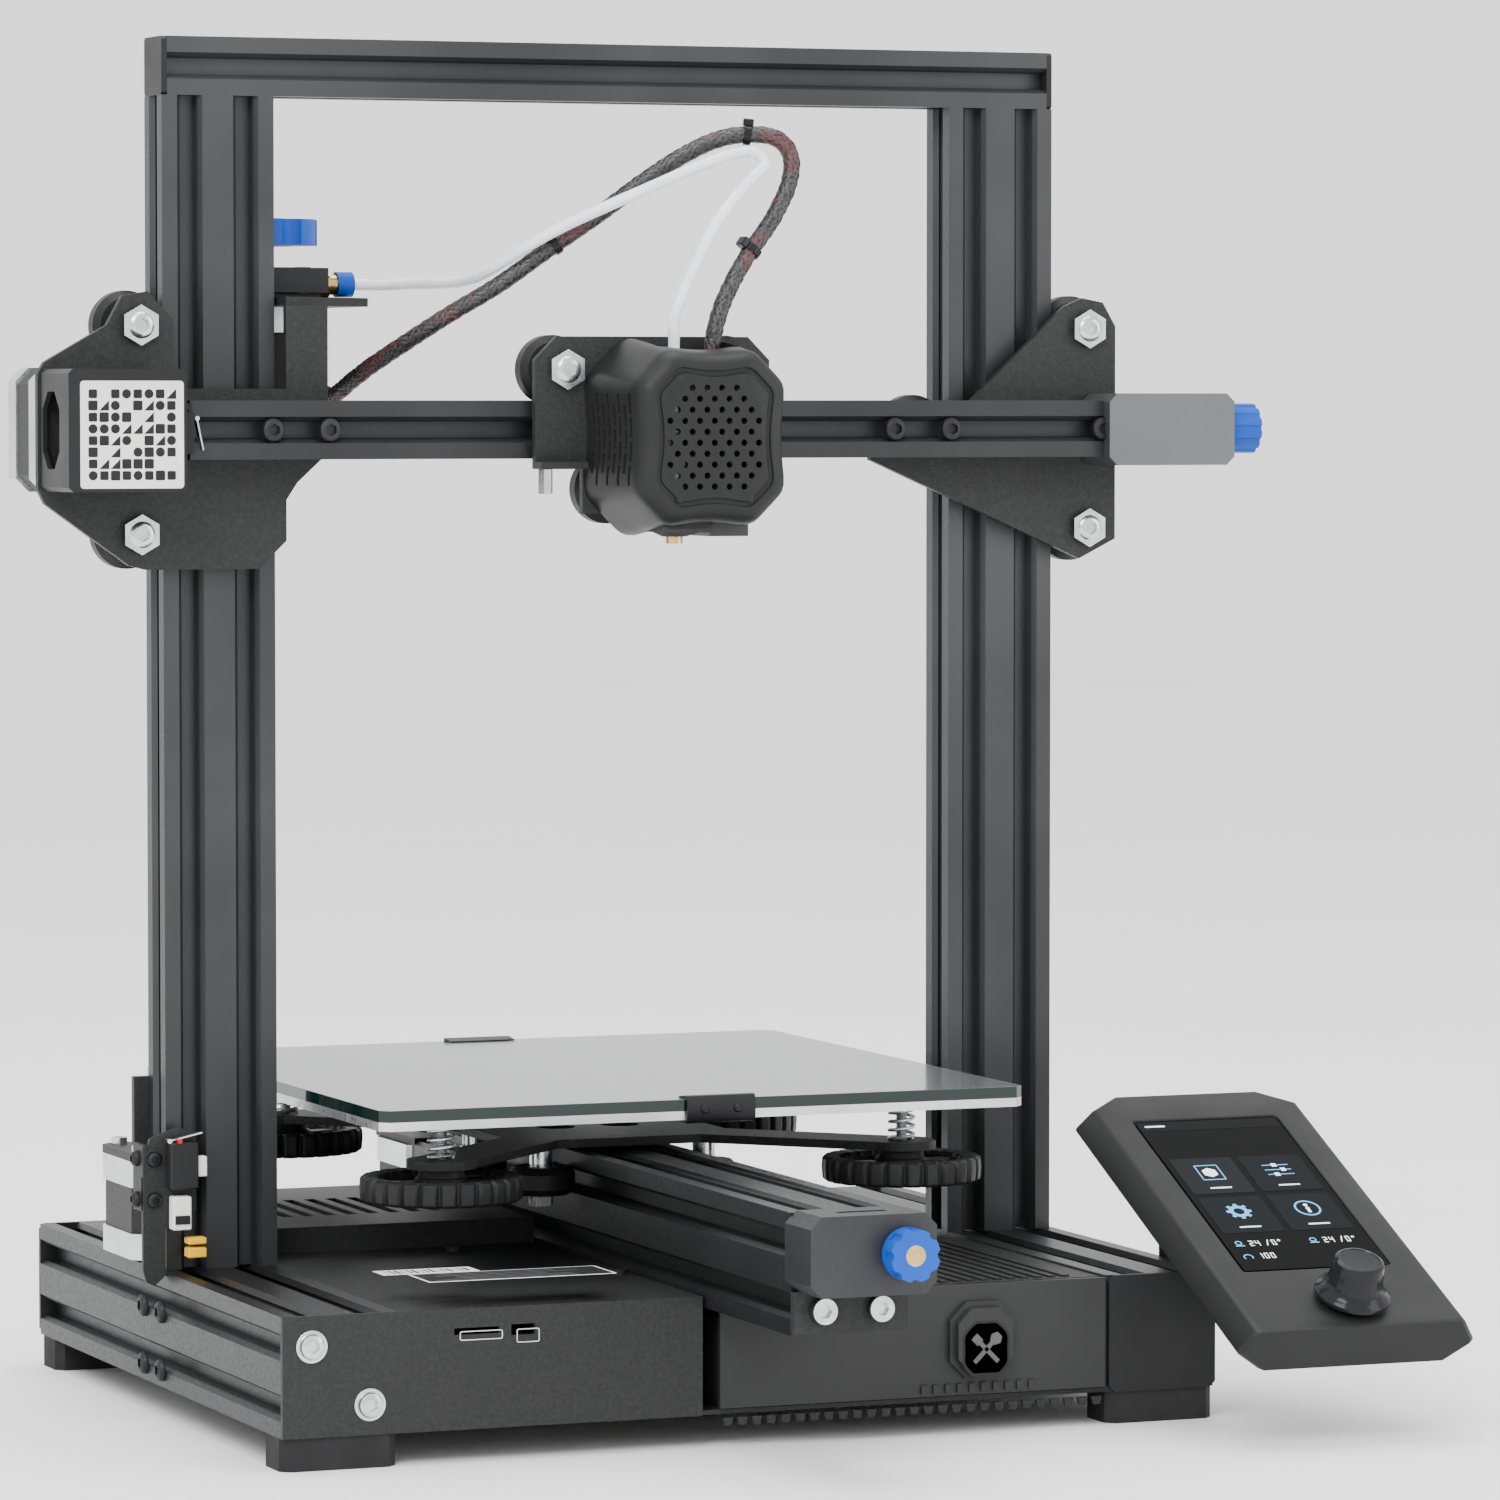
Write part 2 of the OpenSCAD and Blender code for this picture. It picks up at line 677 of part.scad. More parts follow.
module display_outline(inset) {
    c = 10;
    w = display_w - 2 * inset;
    l = display_l - 2 * inset;
    translate([0, inset]) polygon([
        [-w / 2, 2], [-w / 2 + 2, 0], [w / 2 - 2, 0], [w / 2, 2], [w / 2, l - c],
        [w / 2 - 1.4 * c, l], [-w / 2 + 1.4 * c, l], [-w / 2, l - c]
    ]);
}

// Height of the display's underside at y
function under_z(y) =
    display_front_z + (y - display_front_y) * tan(display_tilt) - display_t / cos(display_tilt);

module display_case() color(black) {
    window_lip = 1;
    edge = 6;
    on_display() difference() {
        union() {
            translate([0, 0, -edge]) linear_extrude(edge) display_outline(0);
            translate([0, 0, -display_t]) linear_extrude(display_t - edge) display_outline(5);
        }
        translate([0, screen_s, -window_lip]) linear_extrude(window_lip + 1)
            square([screen_w + 1, screen_l + 1], center = true);
        translate([dial_x, dial_s, -display_t + 2]) cylinder(r = dial_shaft_r + run_gap, h = display_t);
    }
    // Plate that carries the display on the right rail
    in_row_frame() {
        reach_y0 = 6;
        reach_y1 = 46;
        translate([base_w / 2, 0, 0]) rotate([90, 0, 90]) linear_extrude(2.5) polygon([
            [reach_y0, base_z0 + 5], [reach_y1, base_z0 + 5], [reach_y1, under_z(reach_y1)],
            [reach_y0, under_z(reach_y0)]
        ]);
        for (y = [reach_y0 + 8, reach_y1 - 8])
            translate([base_w / 2 + 2.5, y, base_z0 + cell - 4]) rotate([0, 90, 0]) screw_head(3.6, 2.4);
    }
}

module display_screen() color("#10151c") on_display()
    translate([0, screen_s, -1]) linear_extrude(0.8) square([screen_w, screen_l], center = true);

module encoder_shaft() color(brass) on_display()
    translate([dial_x, dial_s, 0]) {
        translate([0, 0, -display_t + 2 + dial_press + free_gap])
            cylinder(r = dial_shaft_r, h = display_t + 8);
    }

module encoder_knob() color(black) on_display()
    translate([dial_x, dial_s, dial_press + free_gap]) difference() {
        union() {
            cylinder(r = dial_d / 2, h = 2);
            translate([0, 0, 2]) cylinder(r1 = dial_d / 2 - 1, r2 = dial_d / 2 - 3.6, h = 3);
            translate([0, 0, 5]) cylinder(r = dial_d / 2 - 4, h = 9);
        }
        translate([0, 0, -1]) cylinder(r = dial_shaft_r + run_gap, h = 13);
    }

// ---------- lead screw ----------

module z_motor() color(black) in_row_frame() {
    translate([z_screw_x, z_screw_y, z_plate_z0]) motor(z_motor_l);
    difference() {
        union() {
            translate([z_screw_x, z_screw_y, z_plate_z0]) linear_extrude(3) cut_rect(motor_w, motor_w, 4);
            box([z_screw_x - motor_w / 2, post_back, z_plate_z0 + 3],
                [z_screw_x + motor_w / 2, post_back + 3, z_plate_z0 + 30]);
        }
        translate([z_screw_x, z_screw_y, z_plate_z0 - 1]) cylinder(r = 11, h = 5);
    }
    for (a = [-15.5, 15.5]) for (b = [-15.5, 15.5])
        translate([z_screw_x + a, z_screw_y + b, z_plate_z0 + 3]) screw_head(2.8, 2.4);
}

module lead_screw() color(steel) in_row_frame() translate([z_screw_x, z_screw_y, 0]) {
    translate([0, 0, z_plate_z0 - 11]) cylinder(r = shaft_r, h = coupler_z0 - z_plate_z0 + 11);
    translate([0, 0, coupler_z0]) cylinder(r = coupler_r, h = coupler_h);
    translate([0, 0, coupler_z0 + coupler_h])
        cylinder(r = screw_r, h = screw_top - coupler_z0 - coupler_h);
}

z_stop_x0 = -(post_out + 14);
z_stop_top = base_z1 + 50;
z_stop_y = upright_y - 6;

module z_endstop() color(black) in_row_frame() {
    plate_x1 = -(post_out - 9);
    // Bracket on the outside of the rail, bent round to carry the switch
    box([z_stop_x0, z_stop_y, base_z0 + 8], [z_stop_x0 + 2, z_stop_y + 24, z_stop_top - 20]);
    box([z_stop_x0, z_stop_y, base_z1 + 1], [plate_x1, z_stop_y + 2, z_stop_top - 4]);
    box([z_stop_x0, z_stop_y + 2, base_z0 + 14], [-base_w / 2, z_stop_y + 24, base_z0 + 18]);
    // Switch with its socket
    box([plate_x1 - 11, z_stop_y - 6.5, z_stop_top - 22], [plate_x1 - 1, z_stop_y, z_stop_top - 6]);
    box([plate_x1 - 10, z_stop_y - 5.5, z_stop_top - 34], [plate_x1 - 5, z_stop_y, z_stop_top - 22]);
    for (z = [0, 13]) translate([z_stop_x0 + 6, z_stop_y, z_stop_top - 12 - z]) rotate([90, 0, 0])
        screw_head(2.6, 2);
}

module z_endstop_lever() color(steel) in_row_frame() {
    plate_x1 = -(post_out - 9);
    y = z_stop_y - 3.2;
    hinge_z = z_stop_top - 4.4;
    rod_y(plate_x1 - 11, hinge_z, 0.8, y - 2.2, y + 2.2);
    translate([plate_x1 - 11, y - 1.6, hinge_z - 0.25]) rotate([0, -12, 0]) cube([12, 3.2, 0.5]);
}

// ---------- Y drive ----------

module y_motor() color(black) in_row_frame() {
    translate([0, y_pulley_y, y_motor_top]) motor(y_motor_l);
    difference() {
        union() {
            box([-cell, y_rail_back, y_rail_z0], [cell, y_rail_back + 3, y_motor_top + 3]);
            box([-cell, y_rail_back, y_motor_top], [cell, y_pulley_y + motor_w / 2, y_motor_top + 3]);
        }
        translate([0, y_pulley_y, y_motor_top - 1]) cylinder(r = 11, h = 5);
    }
}

module y_pulley() color(steel) in_row_frame() translate([0, y_pulley_y, 0]) {
    wheel = y_run - belt_t / 2 - free_gap;
    translate([0, 0, y_motor_top - 11]) cylinder(r = shaft_r, h = y_belt_z - y_motor_top + 9);
    translate([0, 0, y_belt_z - 2]) cylinder(r = wheel, h = belt_w + 2);
}

module y_belt() color(black) in_row_frame()
    translate([0, y_idler_y, y_belt_z]) rotate(90) belt_loop(y_run, y_pulley_y - y_idler_y);

module y_tensioner() color(mid_metal) in_row_frame() {
    wall = 2.5;
    room = y_run + belt_t;
    difference() {
        translate([0, 0, (y_block_z0 + y_block_z1) / 2]) wall_xz(y_block_front, y_rail_front)
            cut_rect(y_block_w, y_block_z1 - y_block_z0, 4);
        // Room for the belt and the idler
        box([-room, y_idler_y - room, y_belt_z - 1], [room, y_rail_front + 1, y_belt_z + belt_w + 0.2]);
        // Slot on top
        translate([0, y_block_front + 11, y_block_z1 - 4]) linear_extrude(6) translate([-7, 0])
            stadium(1.8, 14);
        rod_y(y_knob_x, y_knob_z, shaft_r + run_gap, y_block_front - 1, y_block_front + 8);
    }
    // Idler that turns the belt round
    translate([0, y_idler_y, y_belt_z - 1]) cylinder(r = y_run - belt_t / 2 - free_gap, h = belt_w + 1);
    // Plate under the block, screwed to the end of the rail
    box([-cell, y_rail_front - 3, y_rail_z0 + 0.6], [cell, y_rail_front, y_block_z0]);
    for (s = [-1, 1]) translate([s * 10, y_rail_front - 3, y_rail_z0 + 8]) rotate([90, 0, 0])
        screw_head(4.6, 2.6);
}

module y_tension_knob() color(blue) in_row_frame() {
    lobes = 8;
    y1 = y_block_front - knob_gap;
    difference() {
        rod_y(y_knob_x, y_knob_z, y_knob_r, y1 - y_knob_h, y1);
        for (i = [0:lobes - 1]) {
            a = 360 * i / lobes;
            rod_y(y_knob_x + (y_knob_r + 1) * cos(a), y_knob_z + (y_knob_r + 1) * sin(a), 2,
                y1 - y_knob_h - 1, y1 - 2);
        }
    }
    rod_y(y_knob_x, y_knob_z, shaft_r, y1 - eps, y_block_front + 7);
}

// ---------- bed ----------

module bed_carriage() color(mid_metal) in_row_frame() translate([0, bed_y, frame_z0]) {
    half_w = 42;
    arm_w = 22;
    pad_r = 12;
    arm_root = 30;
    arm_l = norm([screw_offset - arm_root, screw_offset - arm_root]);
    hole_r = 2.4;
    difference() {
        linear_extrude(frame_t) union() {
            square(2 * half_w, center = true);
            for (sx = [-1, 1]) for (sy = [-1, 1]) {
                translate([sx * screw_offset, sy * screw_offset]) circle(r = pad_r);
                translate([sx * arm_root, sy * arm_root]) rotate(atan2(sy, sx))
                    translate([0, -arm_w / 2]) square([arm_l, arm_w]);
            }
        }
        for (sx = [-1, 1]) for (sy = [-1, 1])
            translate([sx * screw_offset, sy * screw_offset, -1]) cylinder(r = hole_r, h = frame_t + 2);
        for (s = [-1, 1]) translate([s * 12, 0, -1]) cylinder(r = 7, h = frame_t + 2);
    }
    // Clip that holds the belt
    clip_x = y_run + belt_t / 2 + free_gap;
    box([clip_x, -10, y_belt_z + 1 - frame_z0], [clip_x + 1.4, 10, 0]);
}

module bed_wheels() color(black) in_row_frame() translate([0, bed_y, 0]) {
    for (s = [-1, 1]) for (t = [-1, 1]) translate([s * bed_wheel_x, t * bed_wheel_gap / 2, 0]) {
        half = wheel_w / 2;
        translate([0, 0, bed_wheel_z]) grooved_wheel();
        translate([0, 0, bed_wheel_z + half]) difference() {
            cylinder(r = 4, h = frame_z0 - bed_wheel_z - half);
            translate([0, 0, -1]) cylinder(r = axle_r + 0.1, h = 20);
        }
        translate([0, 0, bed_wheel_z - half - 4]) cylinder(r = 4.6, h = 4, $fn = 6);
        translate([0, 0, bed_wheel_z - half]) cylinder(r = axle_r, h = frame_z0 - bed_wheel_z + half);
    }
}

module heated_bed() color(steel) in_row_frame() translate([0, bed_y, hot_z0]) {
    corner = 3;
    difference() {
        linear_extrude(plate_t) cut_rect(bed_size, bed_size, corner);
        for (sx = [-1, 1]) for (sy = [-1, 1])
            translate([sx * screw_offset, sy * screw_offset, -1]) cylinder(r = 2.2, h = plate_t + 2);
    }
    // Cable entry under the back edge
    box([-14, bed_size / 2 - 26, -5], [14, bed_size / 2 - 12, 0]);
}

module glass_plate() color("#2d3a36") in_row_frame()
    translate([0, bed_y, hot_z1]) linear_extrude(glass_t) cut_rect(bed_size, bed_size, 3);

module bed_hardware() color(steel) in_row_frame() translate([0, bed_y, 0]) {
    spring_r = 5;
    screw_low = frame_z0 - 12;
    for (sx = [-1, 1]) for (sy = [-1, 1]) translate([sx * screw_offset, sy * screw_offset, 0]) {
        translate([0, 0, frame_z1]) difference() {
            cylinder(r = spring_r, h = spring_h);
            translate([0, 0, -1]) cylinder(r = spring_r - 1.6, h = spring_h + 2);
        }
        translate([0, 0, screw_low]) cylinder(r = 2, h = hot_z1 - screw_low - 0.2);
    }
    // Clips on the front and back edges
    for (s = [0, 1]) mirror([0, s, 0]) translate([s == 0 ? 4 : 0, -bed_size / 2, 0]) {
        box([-12.5, -1.6, hot_z0 - 1.2], [12.5, 0, glass_z1 + 1.2]);
        box([-12.5, -1.6, glass_z1], [12.5, 7, glass_z1 + 1.2]);
        box([-12.5, -1.6, hot_z0 - 1.2], [12.5, 7, hot_z0]);
    }
}

module bed_knob(sx, sy) color(black) in_row_frame()
    translate([sx * screw_offset, bed_y + sy * screw_offset, frame_z0 - 3.2 - 6]) difference() {
        lobes = 24;
        union() {
            cylinder(r = knob_d / 2, h = 6);
            cylinder(r = 8, h = 6 + 3.2 - free_gap);
        }
        translate([0, 0, -1]) cylinder(r = 2 + run_gap, h = 12);
        for (i = [0:lobes - 1]) rotate(360 * i / lobes) translate([knob_d / 2 + 0.6, 0, -1])
            cylinder(r = 1.6, h = 8, $fn = 24);
        for (i = [0:5]) rotate(60 * i) translate([knob_d / 4 + 3, 0, -1])
            cylinder(r = knob_d / 12, h = 9);
    }
module bed_knob_front_left() bed_knob(-1, -1);
module bed_knob_front_right() bed_knob(1, -1);
module bed_knob_rear_left() bed_knob(-1, 1);
module bed_knob_rear_right() bed_knob(1, 1);

// ---------- gantry ----------

module x_beam() color(dark_metal) in_row_frame()
    translate([x_beam_left, x_mid_y, beam_z]) bar_x(1, 1, x_beam_right - x_beam_left);

wheel_up = beam_z + wheel_rise;
wheel_low = beam_z - wheel_rise;

module gantry_plates() color(dark_metal) in_row_frame() {
    top_r = 11.5;
    tongue_x0 = -(post_in - 1.6);
    tongue_x1 = tongue_x0 + 15;
    hole_r = axle_r + 0.1;
    // Left plate: carries the X motor, three wheels and the bracket behind the upright
    difference() {
        union() {
            wall_xz(plate_front, plate_back) polygon([
                [-wheel_x - top_r, wheel_up], [-wheel_x - 6, wheel_up + 10],
                [-wheel_x + 3, wheel_up + top_r],
                [-wheel_x + 12, wheel_up + 2], [-wheel_x + 12, beam_z + 14], [tongue_x0, beam_z + 14],
                [tongue_x0, feed_z], [tongue_x1, feed_z], [tongue_x1, beam_z - 8],
                [-wheel_in_x - 5, beam_z - 18],
                [-wheel_in_x - 9, beam_z - 24], [-wheel_in_x - 9, beam_z - 38],
                [-wheel_in_x - 19, beam_z - 47.5],
                [-wheel_x + 2, beam_z - 47.5], [-wheel_x - 4, beam_z - 46], [x_motor_x - 19, beam_z - 25],
                [x_motor_x - plate_edge, beam_z - 20], [x_motor_x - plate_edge, beam_z + 19],
                [x_motor_x - 19, beam_z + 23]
            ]);
            // Horizontal part under the extruder, around the back of the upright
            translate([0, 0, feed_z]) linear_extrude(3) polygon([
                [tongue_x0, plate_front], [feed_motor_x + 35, plate_front + 26],
                [feed_motor_x + 35, feed_motor_y + 24],
                [z_screw_x - 13, feed_motor_y + 24], [z_screw_x - 13, post_back + 3],
                [tongue_x0, post_back + 3]
            ]);
        }
        translate([x_motor_x, 0, beam_z]) rod_y(0, 0, 11.3, plate_front - 1, plate_back + 1);
        for (z = [wheel_up, wheel_low]) rod_y(-wheel_x, z, hole_r, plate_front - 1, plate_back + 1);
        rod_y(-wheel_in_x, beam_z, hole_r, plate_front - 1, plate_back + 1);
        translate([feed_motor_x, feed_motor_y, feed_z - 1]) cylinder(r = 11.3, h = 5);
        translate([z_screw_x, z_screw_y, feed_z - 1]) cylinder(r = 5.4, h = 5);
    }
    // Nut of the lead screw
    translate([z_screw_x, z_screw_y, 0]) difference() {
        union() {
            translate([0, 0, feed_z - 11]) cylinder(r = 5.1, h = 14);
            translate([0, 0, feed_top]) cylinder(r = 8, h = 3.5);
        }
        translate([0, 0, feed_z - 12]) cylinder(r = screw_r + run_gap, h = 22);
    }
    // Clamp of the cables beside the motor
    box([clamp_x0, clamp_y0, clamp_low], [clamp_x0 + clamp_w, clamp_y0 + clamp_t, feed_z]);
    // Right plate
    difference() {
        wall_xz(plate_front, plate_back) polygon([
            [wheel_x - 9, wheel_up + 8], [wheel_x - 2, wheel_up + 11], [wheel_x + 6, wheel_up + 9.5],
            [wheel_x + 11, wheel_up + 1], [wheel_x + 11, wheel_low - 4], [wheel_x - 3, wheel_low - 11],
            [wheel_in_x - 23, beam_z - 11], [wheel_in_x - 23, beam_z + 3], [wheel_in_x + 16, beam_z + 10]
        ]);
        for (z = [wheel_up, wheel_low]) rod_y(wheel_x, z, hole_r, plate_front - 1, plate_back + 1);
        rod_y(wheel_in_x, beam_z, hole_r, plate_front - 1, plate_back + 1);
    }
}

// One wheel behind a plate, with its spacer, screw and nut; x and z are its place
module plate_wheel(x, z, y_wheel, y_plate0, y_plate1, head = true) {
    half = wheel_w / 2;
    translate([x, y_wheel, z]) rotate([90, 0, 0]) grooved_wheel();
    difference() {
        rod_y(x, z, 4, y_plate1, y_wheel - half);
        rod_y(x, z, axle_r + 0.1, y_plate1 - 1, y_wheel);
    }
    rod_y(x, z, axle_r, y_plate0, y_wheel + half);
    if (head) translate([x, y_plate0, z]) rotate([90, 0, 0]) screw_head(4.6, 2.6);
    translate([x, y_wheel + half + 4, z]) rotate([90, 0, 0]) cylinder(r = 4.4, h = 4, $fn = 6);
}

module gantry_wheels() color(black) in_row_frame()
    for (s = [-1, 1]) {
        for (z = [wheel_up, wheel_low]) plate_wheel(s * wheel_x, z, post_mid_y, plate_front, plate_back);
        plate_wheel(s * wheel_in_x, beam_z, post_mid_y, plate_front + 0.2, plate_back, false);
    }

module x_motor() color(black) in_row_frame()
    translate([x_motor_x, plate_back, beam_z]) rotate([90, 0, 0]) motor(x_motor_l);

module x_pulley() color(steel) in_row_frame() {
    r = x_run - belt_t / 2 - free_gap;
    rod_y(x_motor_x, beam_z, shaft_r, x_mid_y, plate_back + 10);
    rod_y(x_motor_x, beam_z, r, x_mid_y - belt_w / 2 - 0.5, x_mid_y + belt_w / 2 + 0.5);
    rod_y(x_motor_x, beam_z, r + 1.4, x_mid_y - belt_w / 2 - 1.6, x_mid_y - belt_w / 2 - 0.5);
}

module x_motor_cover() color(black) in_row_frame() {
    wall = 1.6;
    half = 20.6;
    x0 = x_motor_x - half;
    x1 = x_motor_x + half;
    difference() {
        translate([x_motor_x, 0, beam_z]) wall_xz(cover_front, plate_front)
            cut_rect(2 * half, 2 * half, 1.5);
        translate([x_motor_x, 0, beam_z]) wall_xz(cover_front + wall, plate_front + 1)
            cut_rect(2 * (half - wall), 2 * (half - wall), 1);
        // Opening for the belt, towards the beam
        box([x1 - wall - 1, x_mid_y - 6, beam_z - 11], [x1 + 1, x_mid_y + 6, beam_z + 11]);
        // Window in the outer side
        translate([x0 - 1, (cover_front + plate_front) / 2 + 4, beam_z]) rotate([90, 0, 90])
            linear_extrude(wall + 2) cut_rect(20, 26, 6);
    }
    // Endstop switch beside the cover
    box([x1 + 0.2, x_beam_front - 6, beam_z - 8], [x1 + 5, x_beam_front - 0.6, beam_z + 6]);
    box([x1 - 2, x_beam_front - 4, beam_z + 7], [x1 + 5, x_beam_front - 0.6, beam_z + 9]);
    box([x1 + 3.4, x_beam_front - 4, beam_z + 6], [x1 + 5, x_beam_front - 0.6, beam_z + 9]);
}

module x_endstop_lever() color(steel) in_row_frame() {
    x1 = x_motor_x + 20.6 + 5;
    y = x_beam_front - 3.2;
    rod_y(x1 + 1.3, beam_z + 4, 0.8, y - 2.2, y + 2.2);
    translate([x1 + 1.05, y - 1.6, beam_z + 4]) rotate([0, 168, 0]) translate([-0.5, 0, 0])
        cube([0.5, 3.2, 11]);
}

module x_belt() color(black) in_row_frame()
    translate([x_motor_x, x_mid_y + belt_w / 2, beam_z]) rotate([90, 0, 0])
        belt_loop(x_run, x_idler_x - x_motor_x);

module x_tensioner() color("#8e9194") in_row_frame() {
    z0 = beam_z - 13;
    z1 = beam_z + 12.5;
    x0 = x_beam_right;
    x1 = x0 + tensioner_l;
    back = plate_front - 0.6;
    room_z = x_run + belt_t + 0.6;
    difference() {
        translate([(x0 + x1) / 2, 0, (z0 + z1) / 2]) wall_xz(x_box_front, back)
            cut_rect(x1 - x0, z1 - z0, 3);
        box([x0 - 1, x_mid_y - belt_w / 2 - 1, beam_z - room_z],
            [x_idler_x + room_z, x_mid_y + belt_w / 2 + 1, beam_z + room_z]);
        rod_x(x_mid_y - 2, beam_z, shaft_r + run_gap, x1 - 14, x1 + 1);
    }
    rod_y(x_idler_x, beam_z, x_run - belt_t / 2 - free_gap, x_mid_y - belt_w / 2 - 1,
        x_mid_y + belt_w / 2 + 1);
}

module x_tension_knob() color(blue) in_row_frame() {
    ribs = 12;
    y = x_mid_y - 2;
    difference() {
        rod_x(y, beam_z, x_knob_r, x_knob_x0, x_knob_x0 + x_knob_l - 2);
        for (i = [0:ribs - 1]) {
            a = 360 * i / ribs;
            rod_x(y + (x_knob_r + 0.8) * cos(a), beam_z + (x_knob_r + 0.8) * sin(a), 1.5, x_knob_x0 + 2,
                x_knob_x0 + x_knob_l);
        }
    }
    rod_x(y, beam_z, 3.4, x_knob_x0 + x_knob_l - 2, x_knob_x0 + x_knob_l);
    rod_x(y, beam_z, shaft_r, x_knob_x0 - 13, x_knob_x0);
}

// ---------- extruder ----------

module extruder_motor() color(black) in_row_frame()
    translate([feed_motor_x, feed_motor_y, feed_z]) motor(feed_motor_l);

body_h = 11;
body_z0 = feed_top;
body_front = filament_y - 3;

module extruder_body() color(black) in_row_frame() {
    x0 = feed_motor_x - feed_half;
    x1 = feed_motor_x + feed_half;
    y0 = feed_motor_y - feed_half;
    y1 = feed_motor_y + feed_half;
    difference() {
        union() {
            // Foot plate, back half, and the two lugs that the filament passes through
            box([x0, y0, body_z0], [x1, y1, body_z0 + 1.5]);
            box([x0, filament_y + 2, body_z0], [x1, y1, body_z0 + body_h]);
            box([x0, body_front, body_z0], [x0 + 4, y1, body_z0 + body_h]);
            box([x1 - 5, body_front, body_z0], [x1, y1, body_z0 + body_h]);
        }
        translate([feed_motor_x, feed_motor_y, body_z0 - 1]) cylinder(r = gear_r + 1.5, h = 20);
        rod_x(filament_y, filament_z, filament_r, x0 - 1, x1 + 1);
    }
    // Pin of the arm
    translate([arm_pivot_x, arm_pivot_y, body_z0 + 1.5 - eps]) cylinder(r = 2, h = body_h + 0.5);
    // Outlet fitting and the clip on it
    difference() {
        union() {
            rod_x(filament_y, filament_z, 4.8, fitting_x0, fitting_x0 + fitting_l - 3);
            rod_x(filament_y, filament_z, 3.6, fitting_x0 + fitting_l - 3, fitting_x0 + fitting_l);
            rod_x(filament_y, filament_z, 4.4, fitting_x0 + fitting_l, fitting_x0 + fitting_l + clip_l);
        }
        rod_x(filament_y, filament_z, filament_r, fitting_x0 - 1, fitting_x0 + fitting_l + clip_l + 1);
    }
}

module extruder_arm() color(black) in_row_frame() {
    z0 = body_z0 + 1.5 + free_gap;
    z1 = body_z0 + body_h - 0.5;
    back = filament_y - 2.2;
    front = feed_motor_y - feed_half - 2;
    x0 = arm_pivot_x - 4;
    x1 = feed_motor_x + feed_half - 5 - 2 * free_gap;
    bearing_r = 5.5;
    bearing_y = filament_y - filament_r - bearing_r - 0.2;
    floor_t = 1;
    difference() {
        translate([0, 0, z0]) linear_extrude(z1 - z0) polygon([
            [x0, front], [x1, front], [x1, back], [arm_pivot_x + 2, back], [x0, arm_pivot_y + 3]
        ]);
        translate([arm_pivot_x, arm_pivot_y, z0 - 1]) cylinder(r = 2 + run_gap, h = body_h + 2);
        translate([feed_motor_x, bearing_y, z0 + floor_t]) cylinder(r = bearing_r + 1.1, h = body_h);
    }
    // Bearing that presses the filament on the gear
    translate([feed_motor_x, bearing_y, z0 + floor_t]) cylinder(r = bearing_r, h = z1 - z0 - floor_t);
    // Thumb tab
    box([x1, front, z0], [x1 + 8, front + 2.6, z1]);
}

module extruder_knob() color(blue) in_row_frame() translate([feed_motor_x, feed_motor_y, 0]) {
    lobes = 8;
    dent_r = 5;
    translate([0, 0, feed_z - 11]) cylinder(r = shaft_r, h = knob_z - feed_z + 11);
    translate([0, 0, feed_top + 2]) cylinder(r = gear_r, h = 8);
    translate([0, 0, knob_z]) difference() {
        cylinder(r = feed_knob_r, h = 9);
        for (i = [0:lobes - 1]) rotate(360 * (i + 0.5) / lobes) translate([feed_knob_r + 2, 0, -1])
            cylinder(r = dent_r, h = 12);
        translate([0, 0, 5]) cylinder(r = feed_knob_r - 8, h = 5);
    }
}

// ---------- print head ----------

module carriage_plate() color(dark_metal) in_row_frame() {
    top = beam_z + 32;
    low = beam_z - 11;
    y0 = carriage_front;
    y1 = y0 + carriage_t;
    difference() {
        union() {
            wall_xz(y0, y1) polygon([
                [-carriage_half, low], [-carriage_half, top - 8], [-carriage_half + 8, top],
                [carriage_half - 8, top], [carriage_half, top - 8], [carriage_half, low],
                [20, low - 18], [-26, low - 18], [-26, low]
            ]);
            box([-carriage_half, y0 - 6, low - 2.5], [-26, y1, low]);
            // Holder of the belt, reaching over the beam
            box([-6, y1, beam_z + 12.5], [6, x_mid_y + 2.3, beam_z + 15]);
            box([-6, x_mid_y - 2.3, beam_z + x_run + belt_t / 2 + free_gap],
                [6, x_mid_y + 2.3, beam_z + 15]);
        }
        for (s = [-1, 1]) rod_y(s * car_wheel_x, beam_z + car_wheel_z, axle_r + 0.1, y0 - 1, y1 + 1);
        rod_y(car_low_wheel_x, beam_z - car_wheel_z, axle_r + 0.1, y0 - 1, y1 + 1);
    }
    // Standoff at the lower left corner
    translate([-carriage_half + 3, y0 - 2, low - 11]) cylinder(r = 2.6, h = 8.5, $fn = 6);
}

module carriage_wheels() color(black) in_row_frame() {
    y0 = carriage_front;
    y1 = y0 + carriage_t;
    plate_wheel(-car_wheel_x, beam_z + car_wheel_z, x_mid_y, y0, y1);
    plate_wheel(car_wheel_x, beam_z + car_wheel_z, x_mid_y, y0, y1, false);
    plate_wheel(car_low_wheel_x, beam_z - car_wheel_z, x_mid_y, y0, y1);
}

